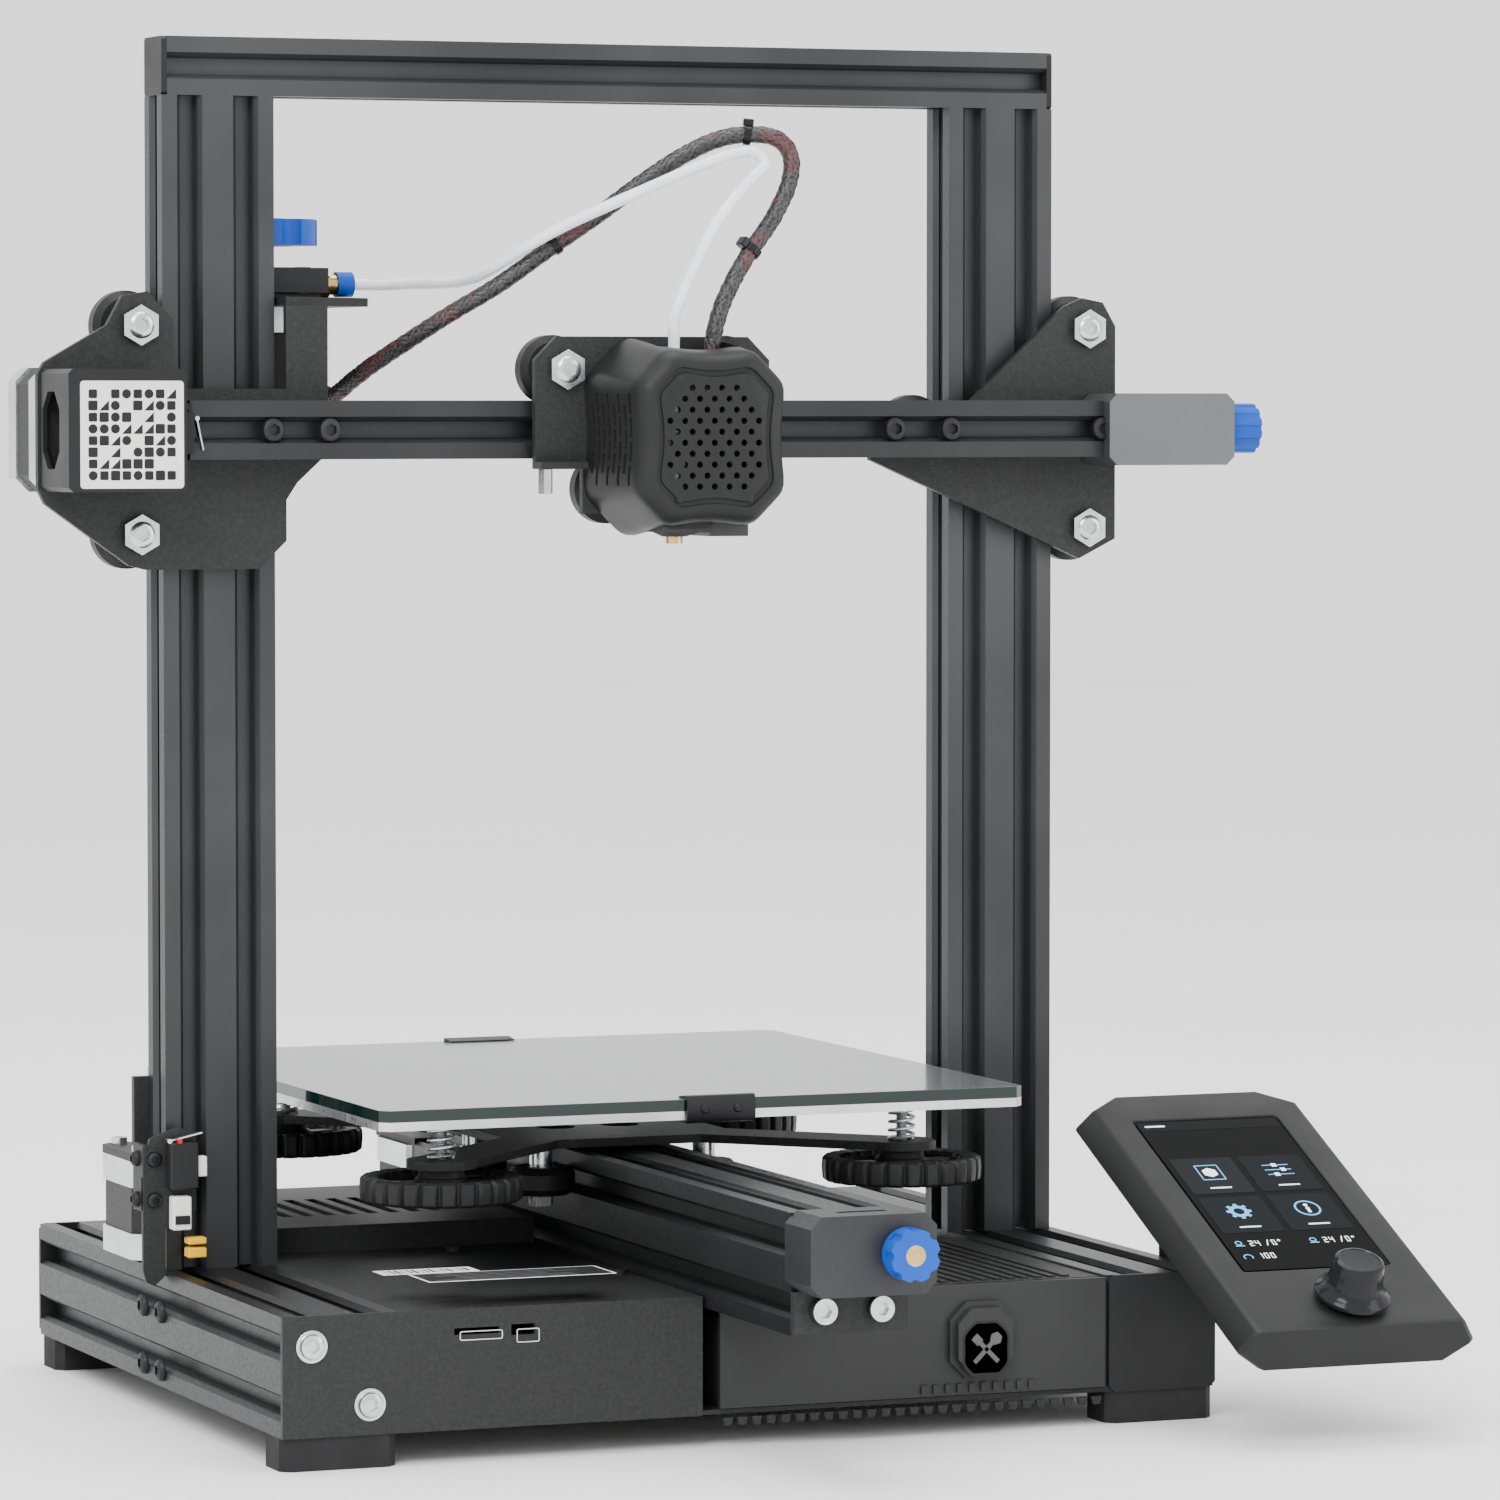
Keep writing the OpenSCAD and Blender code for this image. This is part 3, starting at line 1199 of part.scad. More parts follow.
module hotend() color(steel) in_row_frame() {
    fins = 7;
    fin_r = 9;
    neck_r = 5;
    hang = carriage_front - nozzle_y;
    translate([0, nozzle_y, nozzle_z]) {
        // Nozzle, heater block in its cover, throat and finned cooler
        rotate_extrude() polygon([[0, 0], [0.5, 0], [3, 2.6], [3, 5], [0, 5]]);
        translate([-8, -11, 4]) cube([18, 20, 11]);
        cylinder(r = 3, h = 60);
        for (i = [0:fins - 1]) translate([0, 0, 18 + i * 4]) cylinder(r = fin_r, h = 2);
        translate([0, 0, 18]) cylinder(r = neck_r, h = 42);
        translate([0, 0, 60]) cylinder(r = 4, h = hotend_h - 60);
        // Bar that hangs it on the carriage
        translate([-6, neck_r, 48]) cube([12, hang - neck_r, 10]);
        // Outlet of the part cooling blower and the blower beside the cooler
        translate([11, -6, 2.5]) difference() {
            cube([14, 18, 9]);
            translate([1.5, 1.5, -1]) cube([11, 10, 8]);
        }
        translate([14, -4, 11]) cube([10, 14, 4]);
        translate([13, -4, 14]) cube([15, 22, 37]);
        translate([16, 8, 20]) cube([8, hang - 8, 24]);
    }
    // Holder and pin of the fan
    box([-2, fan_back + 1, shroud_mid_z - 6], [shroud_x + 4, fan_back + 5, shroud_mid_z + 6]);
    rod_y(shroud_x, shroud_mid_z, fan_pin_r, fan_back - fan_hub_l + 1, fan_back + 1.5);
}

module fan_shroud() color(dark_metal) in_row_frame() {
    bevel = 6;
    pitch = 5;
    difference() {
        translate([shroud_x, 0, shroud_mid_z]) intersection() {
            wall_xz(shroud_front, shroud_back) cut_rect(shroud_w, shroud_h, shroud_chamfer);
            translate([0, 0, -shroud_h]) linear_extrude(2 * shroud_h) polygon([
                [-shroud_w / 2, shroud_back], [-shroud_w / 2, shroud_front + bevel],
                [-shroud_w / 2 + bevel, shroud_front],
                [shroud_w / 2 - bevel, shroud_front], [shroud_w / 2, shroud_front + bevel],
                [shroud_w / 2, shroud_back]
            ]);
        }
        translate([shroud_x, 0, shroud_mid_z]) intersection() {
            wall_xz(shroud_front + shroud_wall, shroud_back + 1)
                cut_rect(shroud_w - 2 * shroud_wall, shroud_h - 2 * shroud_wall, shroud_chamfer - 1);
            translate([0, 0, -shroud_h]) linear_extrude(2 * shroud_h) polygon([
                [-shroud_w / 2 + shroud_wall, shroud_back + 1],
                [-shroud_w / 2 + shroud_wall, shroud_front + bevel + 1],
                [-shroud_w / 2 + bevel + 1, shroud_front + shroud_wall],
                [shroud_w / 2 - bevel - 1, shroud_front + shroud_wall],
                [shroud_w / 2 - shroud_wall, shroud_front + bevel + 1],
                [shroud_w / 2 - shroud_wall, shroud_back + 1]
            ]);
        }
        // Open underneath for the nozzle and on top for the tube and the wires
        box([-9, shroud_front + 9, nozzle_z - 5], [26, shroud_back + 1, shroud_mid_z - shroud_h / 2 + 8]);
        box([-8, nozzle_y - 7, shroud_mid_z + shroud_h / 2 - 8],
            [22, shroud_back + 1, shroud_mid_z + shroud_h / 2 + 1]);
        // Air holes in the front, in staggered rows
        for (i = [-3:3]) for (j = [-4:4]) if (abs(i) + abs(j) < 7)
            rod_y(shroud_x + (i + (j % 2 == 0 ? 0 : 0.5)) * pitch, shroud_mid_z + j * pitch, 1,
                shroud_front - 1, shroud_front + shroud_wall + 1);
        // Slots in the left side
        for (i = [0:4]) box([shroud_x - shroud_w / 2 - 1, shroud_front + 12 + i * 5, shroud_mid_z - 14],
            [shroud_x - shroud_w / 2 + 5, shroud_front + 13.4 + i * 5, shroud_mid_z + 14]);
    }
}

module hotend_fan() color(black) in_row_frame() {
    blades = 7;
    hub_r = 7;
    pitch = 35;
    difference() {
        rod_y(shroud_x, shroud_mid_z, hub_r, fan_back - fan_hub_l, fan_back);
        rod_y(shroud_x, shroud_mid_z, fan_pin_r + run_gap, fan_back - fan_hub_l + 0.6, fan_back + 1);
    }
    for (i = [0:blades - 1])
        translate([shroud_x, fan_back - fan_hub_l / 2, shroud_mid_z]) rotate([0, 360 * i / blades, 0])
            rotate([pitch, 0, 0]) translate([hub_r - 1, -0.7, -2.4]) cube([fan_r - hub_r + 1, 1.4, 4.8]);
}

// ---------- cords ----------

// Places along each cord, in the working frame
bowden_route = [
    [clip_end_x, filament_y, filament_z], [-78, filament_y, filament_z], [-72, filament_y, filament_z],
    [-63, 167, 390], [-56, 155, 390], [-52, 142, 391], [-49, 130, 394], [-42, 121, 400],
    [-28, 113, 409], [-3, 104, 421], [20, 99, 431], [34, 96, 435], [39, 93, 431], [35, 91, 427],
    [26, 88, 419], [17, 85, 409], [9, 82, 396], [3, 80, 385], [0, 80, 377], [0, 80, 371],
    [0, nozzle_y, nozzle_z + hotend_h]
];
harness_route = [
    [-95, clamp_y0, 344], [-95, 190, 344], [-94, 182, 346], [-91, 169, 352], [-85, 156, 360],
    [-75, 144, 369], [-62, 134, 379], [-47, 126, 389], [-31, 121, 401], [-14, 117, 413], [0, 112, 424],
    [13, 108, 433], [25, 105, 439], [35, 102, 441], [45, 99, 440], [50, 97, 434], [49, 96, 424],
    [42, 95, 411], [33, 93, 400], [25, 91, 388], [20, 90, 377], [18, 90, 366], [18, 90, nozzle_z + 51]
];
tail_route = [
    [-95, clamp_y0 + clamp_t, 344], [-95, 209, 344], [-95, 214, 344], [-99, 220, 339], [-105, 222, 328],
    [-111, 221, 308], [-117, 218, 285], [-122, 214, 255], [-125, 212, 220], [-125, 212, 180],
    [-124, 212, 140], [-124, 212, 105], [-124, 212, 80], [-124, 212, base_z1 + raised_lid_h]
];
tube_r = 2;
harness_r = 3;

module bowden_tube() color("white") in_row_frame() swept_tube(smooth(bowden_route, 2), tube_r, 8);
module hotend_harness() color(black) in_row_frame() swept_tube(smooth(harness_route, 1), harness_r, 10);
module gantry_harness() color(black) in_row_frame() swept_tube(smooth(tail_route, 2), harness_r, 10);

base_rails();
cross_beam();
y_rail();
uprights();
top_beam();
end_caps();
rubber_feet();
electronics_case();
electronics_lid();
mainboard();
power_supply();
power_inlet();
power_switch();
drawer_housing();
drawer();
display_case();
display_screen();
encoder_shaft();
encoder_knob();
z_motor();
lead_screw();
z_endstop();
z_endstop_lever();
y_motor();
y_pulley();
y_belt();
y_tensioner();
y_tension_knob();
frame_screws();
bed_carriage();
bed_wheels();
heated_bed();
glass_plate();
bed_hardware();
bed_knob_front_left();
bed_knob_front_right();
bed_knob_rear_left();
bed_knob_rear_right();
x_beam();
gantry_plates();
gantry_wheels();
x_motor();
x_pulley();
x_motor_cover();
x_endstop_lever();
x_belt();
x_tensioner();
x_tension_knob();
extruder_motor();
extruder_body();
extruder_arm();
extruder_knob();
carriage_plate();
carriage_wheels();
hotend();
fan_shroud();
hotend_fan();
bowden_tube();
hotend_harness();
gantry_harness();
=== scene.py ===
import math
import random
import bmesh
import bpy
from mathutils import Matrix, Vector


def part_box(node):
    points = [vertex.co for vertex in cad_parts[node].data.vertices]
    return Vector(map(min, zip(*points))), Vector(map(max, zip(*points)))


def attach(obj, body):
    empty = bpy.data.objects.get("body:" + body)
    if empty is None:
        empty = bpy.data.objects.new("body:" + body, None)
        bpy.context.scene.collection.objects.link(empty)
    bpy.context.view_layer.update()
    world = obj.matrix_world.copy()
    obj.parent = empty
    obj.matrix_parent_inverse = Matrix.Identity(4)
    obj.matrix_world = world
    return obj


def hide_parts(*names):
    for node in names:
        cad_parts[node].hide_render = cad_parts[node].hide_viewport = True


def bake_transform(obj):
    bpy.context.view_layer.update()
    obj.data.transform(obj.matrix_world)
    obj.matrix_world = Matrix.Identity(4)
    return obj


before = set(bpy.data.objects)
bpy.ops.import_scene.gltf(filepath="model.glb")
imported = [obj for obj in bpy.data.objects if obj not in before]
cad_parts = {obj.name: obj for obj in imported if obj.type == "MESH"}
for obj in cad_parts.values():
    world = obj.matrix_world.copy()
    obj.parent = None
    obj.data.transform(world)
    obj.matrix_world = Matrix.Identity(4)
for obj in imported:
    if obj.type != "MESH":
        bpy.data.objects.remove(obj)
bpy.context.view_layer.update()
scene = bpy.context.scene

# The machine's own axes: X = 0 in the middle of the base, Y = 0 at its front plate, Z = 0 on the table, in mm.
rail_lo, rail_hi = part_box("y_rail")
OX = (rail_lo[0] + rail_hi[0]) / 2
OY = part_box("base_rails")[0][1] - 0.002


def M(x, y, z):
    return Vector((OX + x / 1000, OY + y / 1000, z / 1000))


def R(x, y, z):
    v = M(x, y, z)
    return (v.x, v.y, v.z)


# ---------------------------------------------------------------- camera
AZIMUTH, PITCH = math.radians(21.87), math.radians(2.86)
camera = bpy.data.objects.new("camera", bpy.data.cameras.new("camera"))
scene.collection.objects.link(camera)
camera.location = M(-875.7, -2171.6, 349.8)
camera.rotation_euler = (math.pi / 2 - PITCH, 0, -AZIMUTH)
camera.data.sensor_width = 36
camera.data.lens = 169.04
camera.data.clip_end = 30
scene.camera = camera


# ---------------------------------------------------------------- mesh building
class Build:
    """Collects points and faces, each face with a material number."""

    def __init__(self):
        self.v, self.f, self.m = [], [], []

    def add(self, verts, faces, m=0, at=None):
        n = len(self.v)
        self.v += [tuple(at @ Vector(p)) if at else tuple(p) for p in verts]
        self.f += [tuple(i + n for i in f) for f in faces]
        self.m += [m] * len(faces)
        return self

    def loft(self, rings, m=0, cap=True, at=None, closed=False):
        k = len(rings[0])
        verts = [p for ring in rings for p in ring]
        n = len(rings)
        faces = []
        for i in range(n if closed else n - 1):
            a, b = i * k, ((i + 1) % n) * k
            faces += [(a + j, a + (j + 1) % k, b + (j + 1) % k, b + j) for j in range(k)]
        if cap and not closed:
            faces.append(tuple(reversed(range(k))))
            faces.append(tuple(range((n - 1) * k, n * k)))
        return self.add(verts, faces, m, at)

    def box(self, lo, hi, m=0, at=None, c=0.0):
        """Box with its edges cut by c."""
        x0, y0, z0 = lo
        x1, y1, z1 = hi

        def ring(z, i):
            return [(x0 + i + c, y0 + i, z), (x1 - i - c, y0 + i, z), (x1 - i, y0 + i + c, z), (x1 - i, y1 - i - c, z),
                    (x1 - i - c, y1 - i, z), (x0 + i + c, y1 - i, z), (x0 + i, y1 - i - c, z), (x0 + i, y0 + i + c, z)]
        if c <= 0:
            return self.add([(x, y, z) for z in (z0, z1) for x, y in ((x0, y0), (x1, y0), (x1, y1), (x0, y1))],
                            [(3, 2, 1, 0), (4, 5, 6, 7), (0, 1, 5, 4), (1, 2, 6, 5), (2, 3, 7, 6), (3, 0, 4, 7)], m, at)
        return self.loft([ring(z0, c), ring(z0 + c, 0), ring(z1 - c, 0), ring(z1, c)], m, True, at)

    def lathe(self, profile, m=0, at=None, n=32, cap=True, shape=None):
        """Turns (radius, height) pairs about the local Z axis; shape(i, angle) scales ring i."""
        rings = []
        for i, (r, h) in enumerate(profile):
            rings.append([((r * (shape(i, 2 * math.pi * j / n) if shape else 1)) * math.cos(2 * math.pi * j / n),
                           (r * (shape(i, 2 * math.pi * j / n) if shape else 1)) * math.sin(2 * math.pi * j / n), h)
                          for j in range(n)])
        return self.loft(rings, m, cap, at)


def axis_at(origin, z, x=None):
    """Matrix whose Z looks along z, at origin."""
    z = Vector(z).normalized()
    x = Vector(x) if x else (Vector((0, 0, 1)) if abs(z.z) < 0.9 else Vector((1, 0, 0)))
    y = z.cross(x).normalized()
    x = y.cross(z).normalized()
    m = Matrix((x, y, z)).transposed().to_4x4()
    m.translation = Vector(origin)
    return m


def make(name, build, mats, body=None, bevel=0, angle=34, segments=2, subdivide=0, weld=False):
    mesh = bpy.data.meshes.new(name)
    mesh.from_pydata(build.v, [], build.f)
    mesh.materials.clear()
    for m in (mats if isinstance(mats, (list, tuple)) else [mats]):
        mesh.materials.append(m)
    for p, i in zip(mesh.polygons, build.m):
        p.material_index = i
    bm = bmesh.new()
    bm.from_mesh(mesh)
    if weld:
        bmesh.ops.remove_doubles(bm, verts=bm.verts, dist=1e-6)
    bmesh.ops.recalc_face_normals(bm, faces=bm.faces)
    bm.to_mesh(mesh)
    bm.free()
    ob = bpy.data.objects.new(name, mesh)
    scene.collection.objects.link(ob)
    if subdivide:
        s = ob.modifiers.new("subdivide", "SUBSURF")
        s.levels = s.render_levels = subdivide
    if bevel:
        bevel_edges(ob, bevel, segments)
    mesh.shade_smooth()
    if not subdivide:
        mesh.set_sharp_from_angle(angle=math.radians(angle))
    if body:
        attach(ob, body)
    return ob


def bevel_edges(ob, width, segments=2, limit=40):
    b = ob.modifiers.new("bevel", "BEVEL")
    b.width = width
    b.segments = segments
    b.limit_method = "ANGLE"
    b.angle_limit = math.radians(limit)
    b.harden_normals = True
    b.use_clamp_overlap = True
    return b


def baked(ob):
    """Applies the modifiers of ob."""
    bpy.context.view_layer.update()
    mesh = bpy.data.meshes.new_from_object(ob.evaluated_get(bpy.context.evaluated_depsgraph_get()))
    ob.modifiers.clear()
    old = ob.data
    ob.data = mesh
    bpy.data.meshes.remove(old)
    return ob


def cut(ob, tool):
    """Cuts tool out of ob and removes tool."""
    b = ob.modifiers.new("cut", "BOOLEAN")
    b.operation = "DIFFERENCE"
    b.solver = "EXACT"
    b.object = tool
    baked(ob)
    bpy.data.objects.remove(tool)
    ob.data.shade_smooth()
    ob.data.set_sharp_from_angle(angle=math.radians(34))
    return ob


def spline(points, steps):
    """The same smooth curve as in part.scad."""
    p = [Vector(q) for q in points]
    out = []
    for i in range(len(p) - 1):
        a, b, c, d = p[max(i - 1, 0)], p[i], p[i + 1], p[min(i + 2, len(p) - 1)]
        for s in range(steps):
            t = s / steps
            out.append(0.5 * (2 * b + (c - a) * t + (2 * a - 5 * b + 4 * c - d) * t * t
                              + (3 * b - a - 3 * c + d) * t ** 3))
    return out + [p[-1]]


def carried_frames(path):
    """A heading and two side directions at each point of a path, without twist."""
    out = []
    u = None
    for i in range(len(path)):
        t = (path[min(i + 1, len(path) - 1)] - path[max(i - 1, 0)]).normalized()
        if u is None:
            u = t.cross(Vector((0, 0, 1)) if abs(t.z) < 0.95 else Vector((0, 1, 0))).normalized()
        else:
            u = (u - t * u.dot(t)).normalized()
        out.append((t, u, t.cross(u)))
    return out


def tube(build, path, radius, sides=10, m=0, cap=True):
    """Adds a tube; radius is a number or a function of 0..1 along it."""
    frames = carried_frames(path)
    rings = []
    for i, (p, (t, u, v)) in enumerate(zip(path, frames)):
        r = radius(i / (len(path) - 1)) if callable(radius) else radius
        rings.append([p + r * (math.cos(2 * math.pi * k / sides) * u + math.sin(2 * math.pi * k / sides) * v)
                      for k in range(sides)])
    return build.loft(rings, m, cap)


# ---------------------------------------------------------------- materials
class Nodes:
    """Short names for making a node material."""

    def __init__(self, name):
        self.mat = bpy.data.materials.new(name)
        self.mat.use_nodes = True
        self.t = self.mat.node_tree
        self.bsdf = self.t.nodes["Principled BSDF"]
        self.coord = self.t.nodes.new("ShaderNodeTexCoord").outputs["Object"]

    def node(self, kind, **sets):
        n = self.t.nodes.new("ShaderNode" + kind)
        for k, v in sets.items():
            setattr(n, k, v)
        return n

    def link(self, a, b):
        self.t.links.new(a, b)

    def put(self, socket, value):
        if hasattr(value, "is_output") or isinstance(value, bpy.types.NodeSocket):
            self.link(value, socket)
        else:
            socket.default_value = value

    def math(self, op, a, b=0.0, c=None):
        n = self.node("Math", operation=op)
        self.put(n.inputs[0], a)
        self.put(n.inputs[1], b)
        if c is not None:
            self.put(n.inputs[2], c)
        return n.outputs[0]

    def scaled(self, scale):
        n = self.node("Mapping")
        self.link(self.coord, n.inputs["Vector"])
        n.inputs["Scale"].default_value = scale
        return n.outputs[0]

    def noise(self, scale=100.0, detail=3.0, rough=0.55, stretch=None):
        n = self.node("TexNoise")
        self.link(self.scaled(stretch) if stretch else self.coord, n.inputs["Vector"])
        n.inputs["Scale"].default_value = scale
        n.inputs["Detail"].default_value = detail
        n.inputs["Roughness"].default_value = rough
        return n.outputs["Fac"]

    def cells(self, scale=100.0, feature="F1", stretch=None):
        n = self.node("TexVoronoi", feature=feature)
        self.link(self.scaled(stretch) if stretch else self.coord, n.inputs["Vector"])
        n.inputs["Scale"].default_value = scale
        return n.outputs["Distance"]

    def span(self, x, a, b, lo=0.0, hi=1.0):
        n = self.node("MapRange")
        self.put(n.inputs["Value"], x)
        for k, v in (("From Min", a), ("From Max", b), ("To Min", lo), ("To Max", hi)):
            self.put(n.inputs[k], v)
        return n.outputs[0]

    def mix(self, fac, a, b):
        n = self.node("Mix", data_type="RGBA")
        self.put(n.inputs["Factor"], fac)
        self.put(n.inputs[6], a if isinstance(a, bpy.types.NodeSocket) else (*a, 1.0))
        self.put(n.inputs[7], b if isinstance(b, bpy.types.NodeSocket) else (*b, 1.0))
        return n.outputs[2]

    def bump(self, height, strength=0.3, distance=0.0002, normal=None):
        n = self.node("Bump")
        n.inputs["Strength"].default_value = strength
        n.inputs["Distance"].default_value = distance
        self.link(height, n.inputs["Height"])
        if normal:
            self.link(normal, n.inputs["Normal"])
        return n.outputs[0]

    def xyz(self):
        n = self.node("SeparateXYZ")
        self.link(self.coord, n.inputs[0])
        return n.outputs

    def in_box(self, lo, hi):
        """1 inside a box given in the machine's mm, else 0."""
        a, b = M(*lo), M(*hi)
        c, h = (a + b) / 2, (b - a) / 2
        s = self.node("VectorMath", operation="SUBTRACT")
        self.link(self.coord, s.inputs[0])
        s.inputs[1].default_value = c
        d = self.node("VectorMath", operation="DIVIDE")
        self.link(s.outputs[0], d.inputs[0])
        d.inputs[1].default_value = h
        e = self.node("VectorMath", operation="ABSOLUTE")
        self.link(d.outputs[0], e.inputs[0])
        q = self.node("SeparateXYZ")
        self.link(e.outputs[0], q.inputs[0])
        return self.math("LESS_THAN", self.math("MAXIMUM", self.math("MAXIMUM", q.outputs[0], q.outputs[1]), q.outputs[2]), 1.0)

    def near_axis(self, points, axis, radius):
        """1 within radius mm of any of the lines along axis through points (machine mm)."""
        best = None
        for p in points:
            s = self.node("VectorMath", operation="SUBTRACT")
            self.link(self.coord, s.inputs[0])
            s.inputs[1].default_value = M(*p)
            k = self.node("VectorMath", operation="MULTIPLY")
            self.link(s.outputs[0], k.inputs[0])
            k.inputs[1].default_value = [0 if c == axis else 1 for c in "XYZ"]
            n = self.node("VectorMath", operation="LENGTH")
            self.link(k.outputs[0], n.inputs[0])
            d = n.outputs["Value"]
            best = d if best is None else self.math("MINIMUM", best, d)
        return self.math("LESS_THAN", best, radius / 1000)


def finish_of(kind, n, color):
    """Colour, roughness, metal and normal for a kind of surface, as sockets or numbers."""
    dark = tuple(c * 0.82 for c in color)
    light = tuple(min(1, c * 1.16 + 0.002) for c in color)
    if kind == "anodised":
        grain = n.noise(900, 2, 0.6)
        lines = n.noise(60, 3, 0.6, (12, 0.6, 12))
        return (n.mix(n.span(n.noise(9, 3), 0.35, 0.7), dark, light), n.span(grain, 0.3, 0.7, 0.36, 0.5), 0.75,
                n.bump(n.math("ADD", n.math("MULTIPLY", lines, 0.35), grain), 0.12, 0.00006))
    if kind == "sheet":
        orange = n.cells(1900, "SMOOTH_F1")
        fine = n.noise(2600, 2)
        return (n.mix(n.span(n.noise(700, 2), 0.35, 0.75), dark, light), n.span(fine, 0.3, 0.75, 0.42, 0.62), 0.0,
                n.bump(n.math("ADD", orange, n.math("MULTIPLY", fine, 0.5)), 0.42, 0.00025))
    if kind == "plastic":
        fine = n.noise(1700, 3, 0.7)
        return (n.mix(n.span(n.noise(14, 4), 0.3, 0.75), dark, light), n.span(n.noise(40, 3), 0.3, 0.75, 0.4, 0.52), 0.0,
                n.bump(fine, 0.22, 0.00012))
    if kind == "gloss":
        return (n.mix(n.span(n.noise(30, 3), 0.3, 0.8), dark, light), n.span(n.noise(60, 4), 0.35, 0.8, 0.1, 0.22), 0.0,
                n.bump(n.noise(300, 2), 0.03, 0.0001))
    if kind == "rubber":
        return (n.mix(n.span(n.noise(60, 4), 0.3, 0.75), dark, light), n.span(n.noise(90, 3), 0.3, 0.75, 0.62, 0.82), 0.0,
                n.bump(n.noise(1200, 3), 0.3, 0.0002))
    if kind == "steel":
        scratch = n.noise(180, 3, 0.6, (1, 9, 1))
        return (n.mix(n.span(n.noise(120, 3), 0.3, 0.75), dark, light), n.span(scratch, 0.3, 0.75, 0.16, 0.34), 1.0,
                n.bump(scratch, 0.08, 0.00005))
    if kind == "machined":
        return (n.mix(n.span(n.noise(40, 3), 0.3, 0.75), dark, light), n.span(n.noise(400, 2), 0.3, 0.75, 0.26, 0.42), 1.0,
                n.bump(n.noise(900, 2, 0.6, (1, 1, 6)), 0.1, 0.00006))
    if kind == "brass":
        return (n.mix(n.span(n.noise(160, 4), 0.3, 0.75), tuple(c * 0.62 for c in color), light),
                n.span(n.noise(220, 3), 0.3, 0.75, 0.16, 0.36), 1.0, n.bump(n.noise(700, 2), 0.08, 0.00005))
    if kind == "blasted":
        return (n.mix(n.span(n.noise(12, 3), 0.3, 0.75), dark, light), n.span(n.noise(900, 2), 0.3, 0.75, 0.42, 0.55), 0.85,
                n.bump(n.noise(2400, 3, 0.7), 0.2, 0.0001))
    if kind == "board":
        tracks = n.cells(260, "DISTANCE_TO_EDGE")
        return (n.mix(n.span(tracks, 0.02, 0.05), tuple(min(1, c * 2.2) for c in color), color), 0.32, 0.0,
                n.bump(n.span(tracks, 0.02, 0.05), 0.2, 0.0001))
    raise ValueError(kind)


def material(name, kind, color, zones=()):
    """A surface of one kind, with zones of other kinds where a mask says so: (mask maker, kind, colour)."""
    n = Nodes(name)
    col, rough, metal, normal = finish_of(kind, n, color)
    for maker, kind2, color2 in zones:
        mask = maker(n)
        c2, r2, m2, n2 = finish_of(kind2, n, color2)
        col = n.mix(mask, col, c2)
        rough = n.span(mask, 0, 1, rough, r2)
        metal = n.span(mask, 0, 1, metal, m2)
        mixed = n.node("Mix", data_type="VECTOR")
        n.link(mask, mixed.inputs["Factor"])
        n.link(normal, mixed.inputs[4])
        n.link(n2, mixed.inputs[5])
        normal = mixed.outputs[1]
    n.put(n.bsdf.inputs["Base Color"], col)
    n.put(n.bsdf.inputs["Roughness"], rough)
    n.put(n.bsdf.inputs["Metallic"], metal)
    n.bsdf.inputs["Specular IOR Level"].default_value = {"gloss": 0.15, "steel": 0.5, "machined": 0.5, "brass": 0.5}.get(kind, 0.2)
    n.link(normal, n.bsdf.inputs["Normal"])
    return n.mat


DARK_ALU, GREY_ALU = (0.036, 0.037, 0.039), (0.052, 0.053, 0.055)
BLACK, SHEET, STEEL, BRASS_C = (0.013, 0.0132, 0.014), (0.021, 0.0213, 0.022), (0.62, 0.63, 0.64), (0.72, 0.5, 0.2)
BLUE, WHITE, ALU = (0.003, 0.07, 0.44), (0.78, 0.78, 0.76), (0.66, 0.67, 0.68)

m_dark_alu = material("dark_anodised", "anodised", DARK_ALU)
m_grey_alu = material("grey_anodised", "anodised", GREY_ALU)
m_plastic = material("black_moulding", "plastic", BLACK)
m_grey_plastic = material("dark_grey_moulding", "plastic", (0.0115, 0.0117, 0.0121))
m_gloss = material("gloss_moulding", "gloss", (0.012, 0.012, 0.014))
m_rubber = material("black_rubber", "rubber", (0.016, 0.016, 0.017))
m_sheet = material("powder_coat", "sheet", SHEET)
m_steel = material("bright_steel", "steel", STEEL)
m_machined = material("machined_aluminium", "machined", ALU)
m_brass = material("brass", "brass", BRASS_C)
m_blue = material("blue_anodised", "plastic", BLUE)
m_white = material("white_moulding", "plastic", WHITE)
m_yellow = material("yellow_moulding", "plastic", (0.85, 0.5, 0.01))
m_red = material("red_moulding", "gloss", (0.45, 0.015, 0.012))
m_black_steel = material("black_oxide", "blasted", (0.03, 0.03, 0.032))
m_grey_metal = material("grey_blasted", "blasted", (0.2, 0.205, 0.21))
m_board = material("circuit_board", "board", (0.01, 0.09, 0.045))

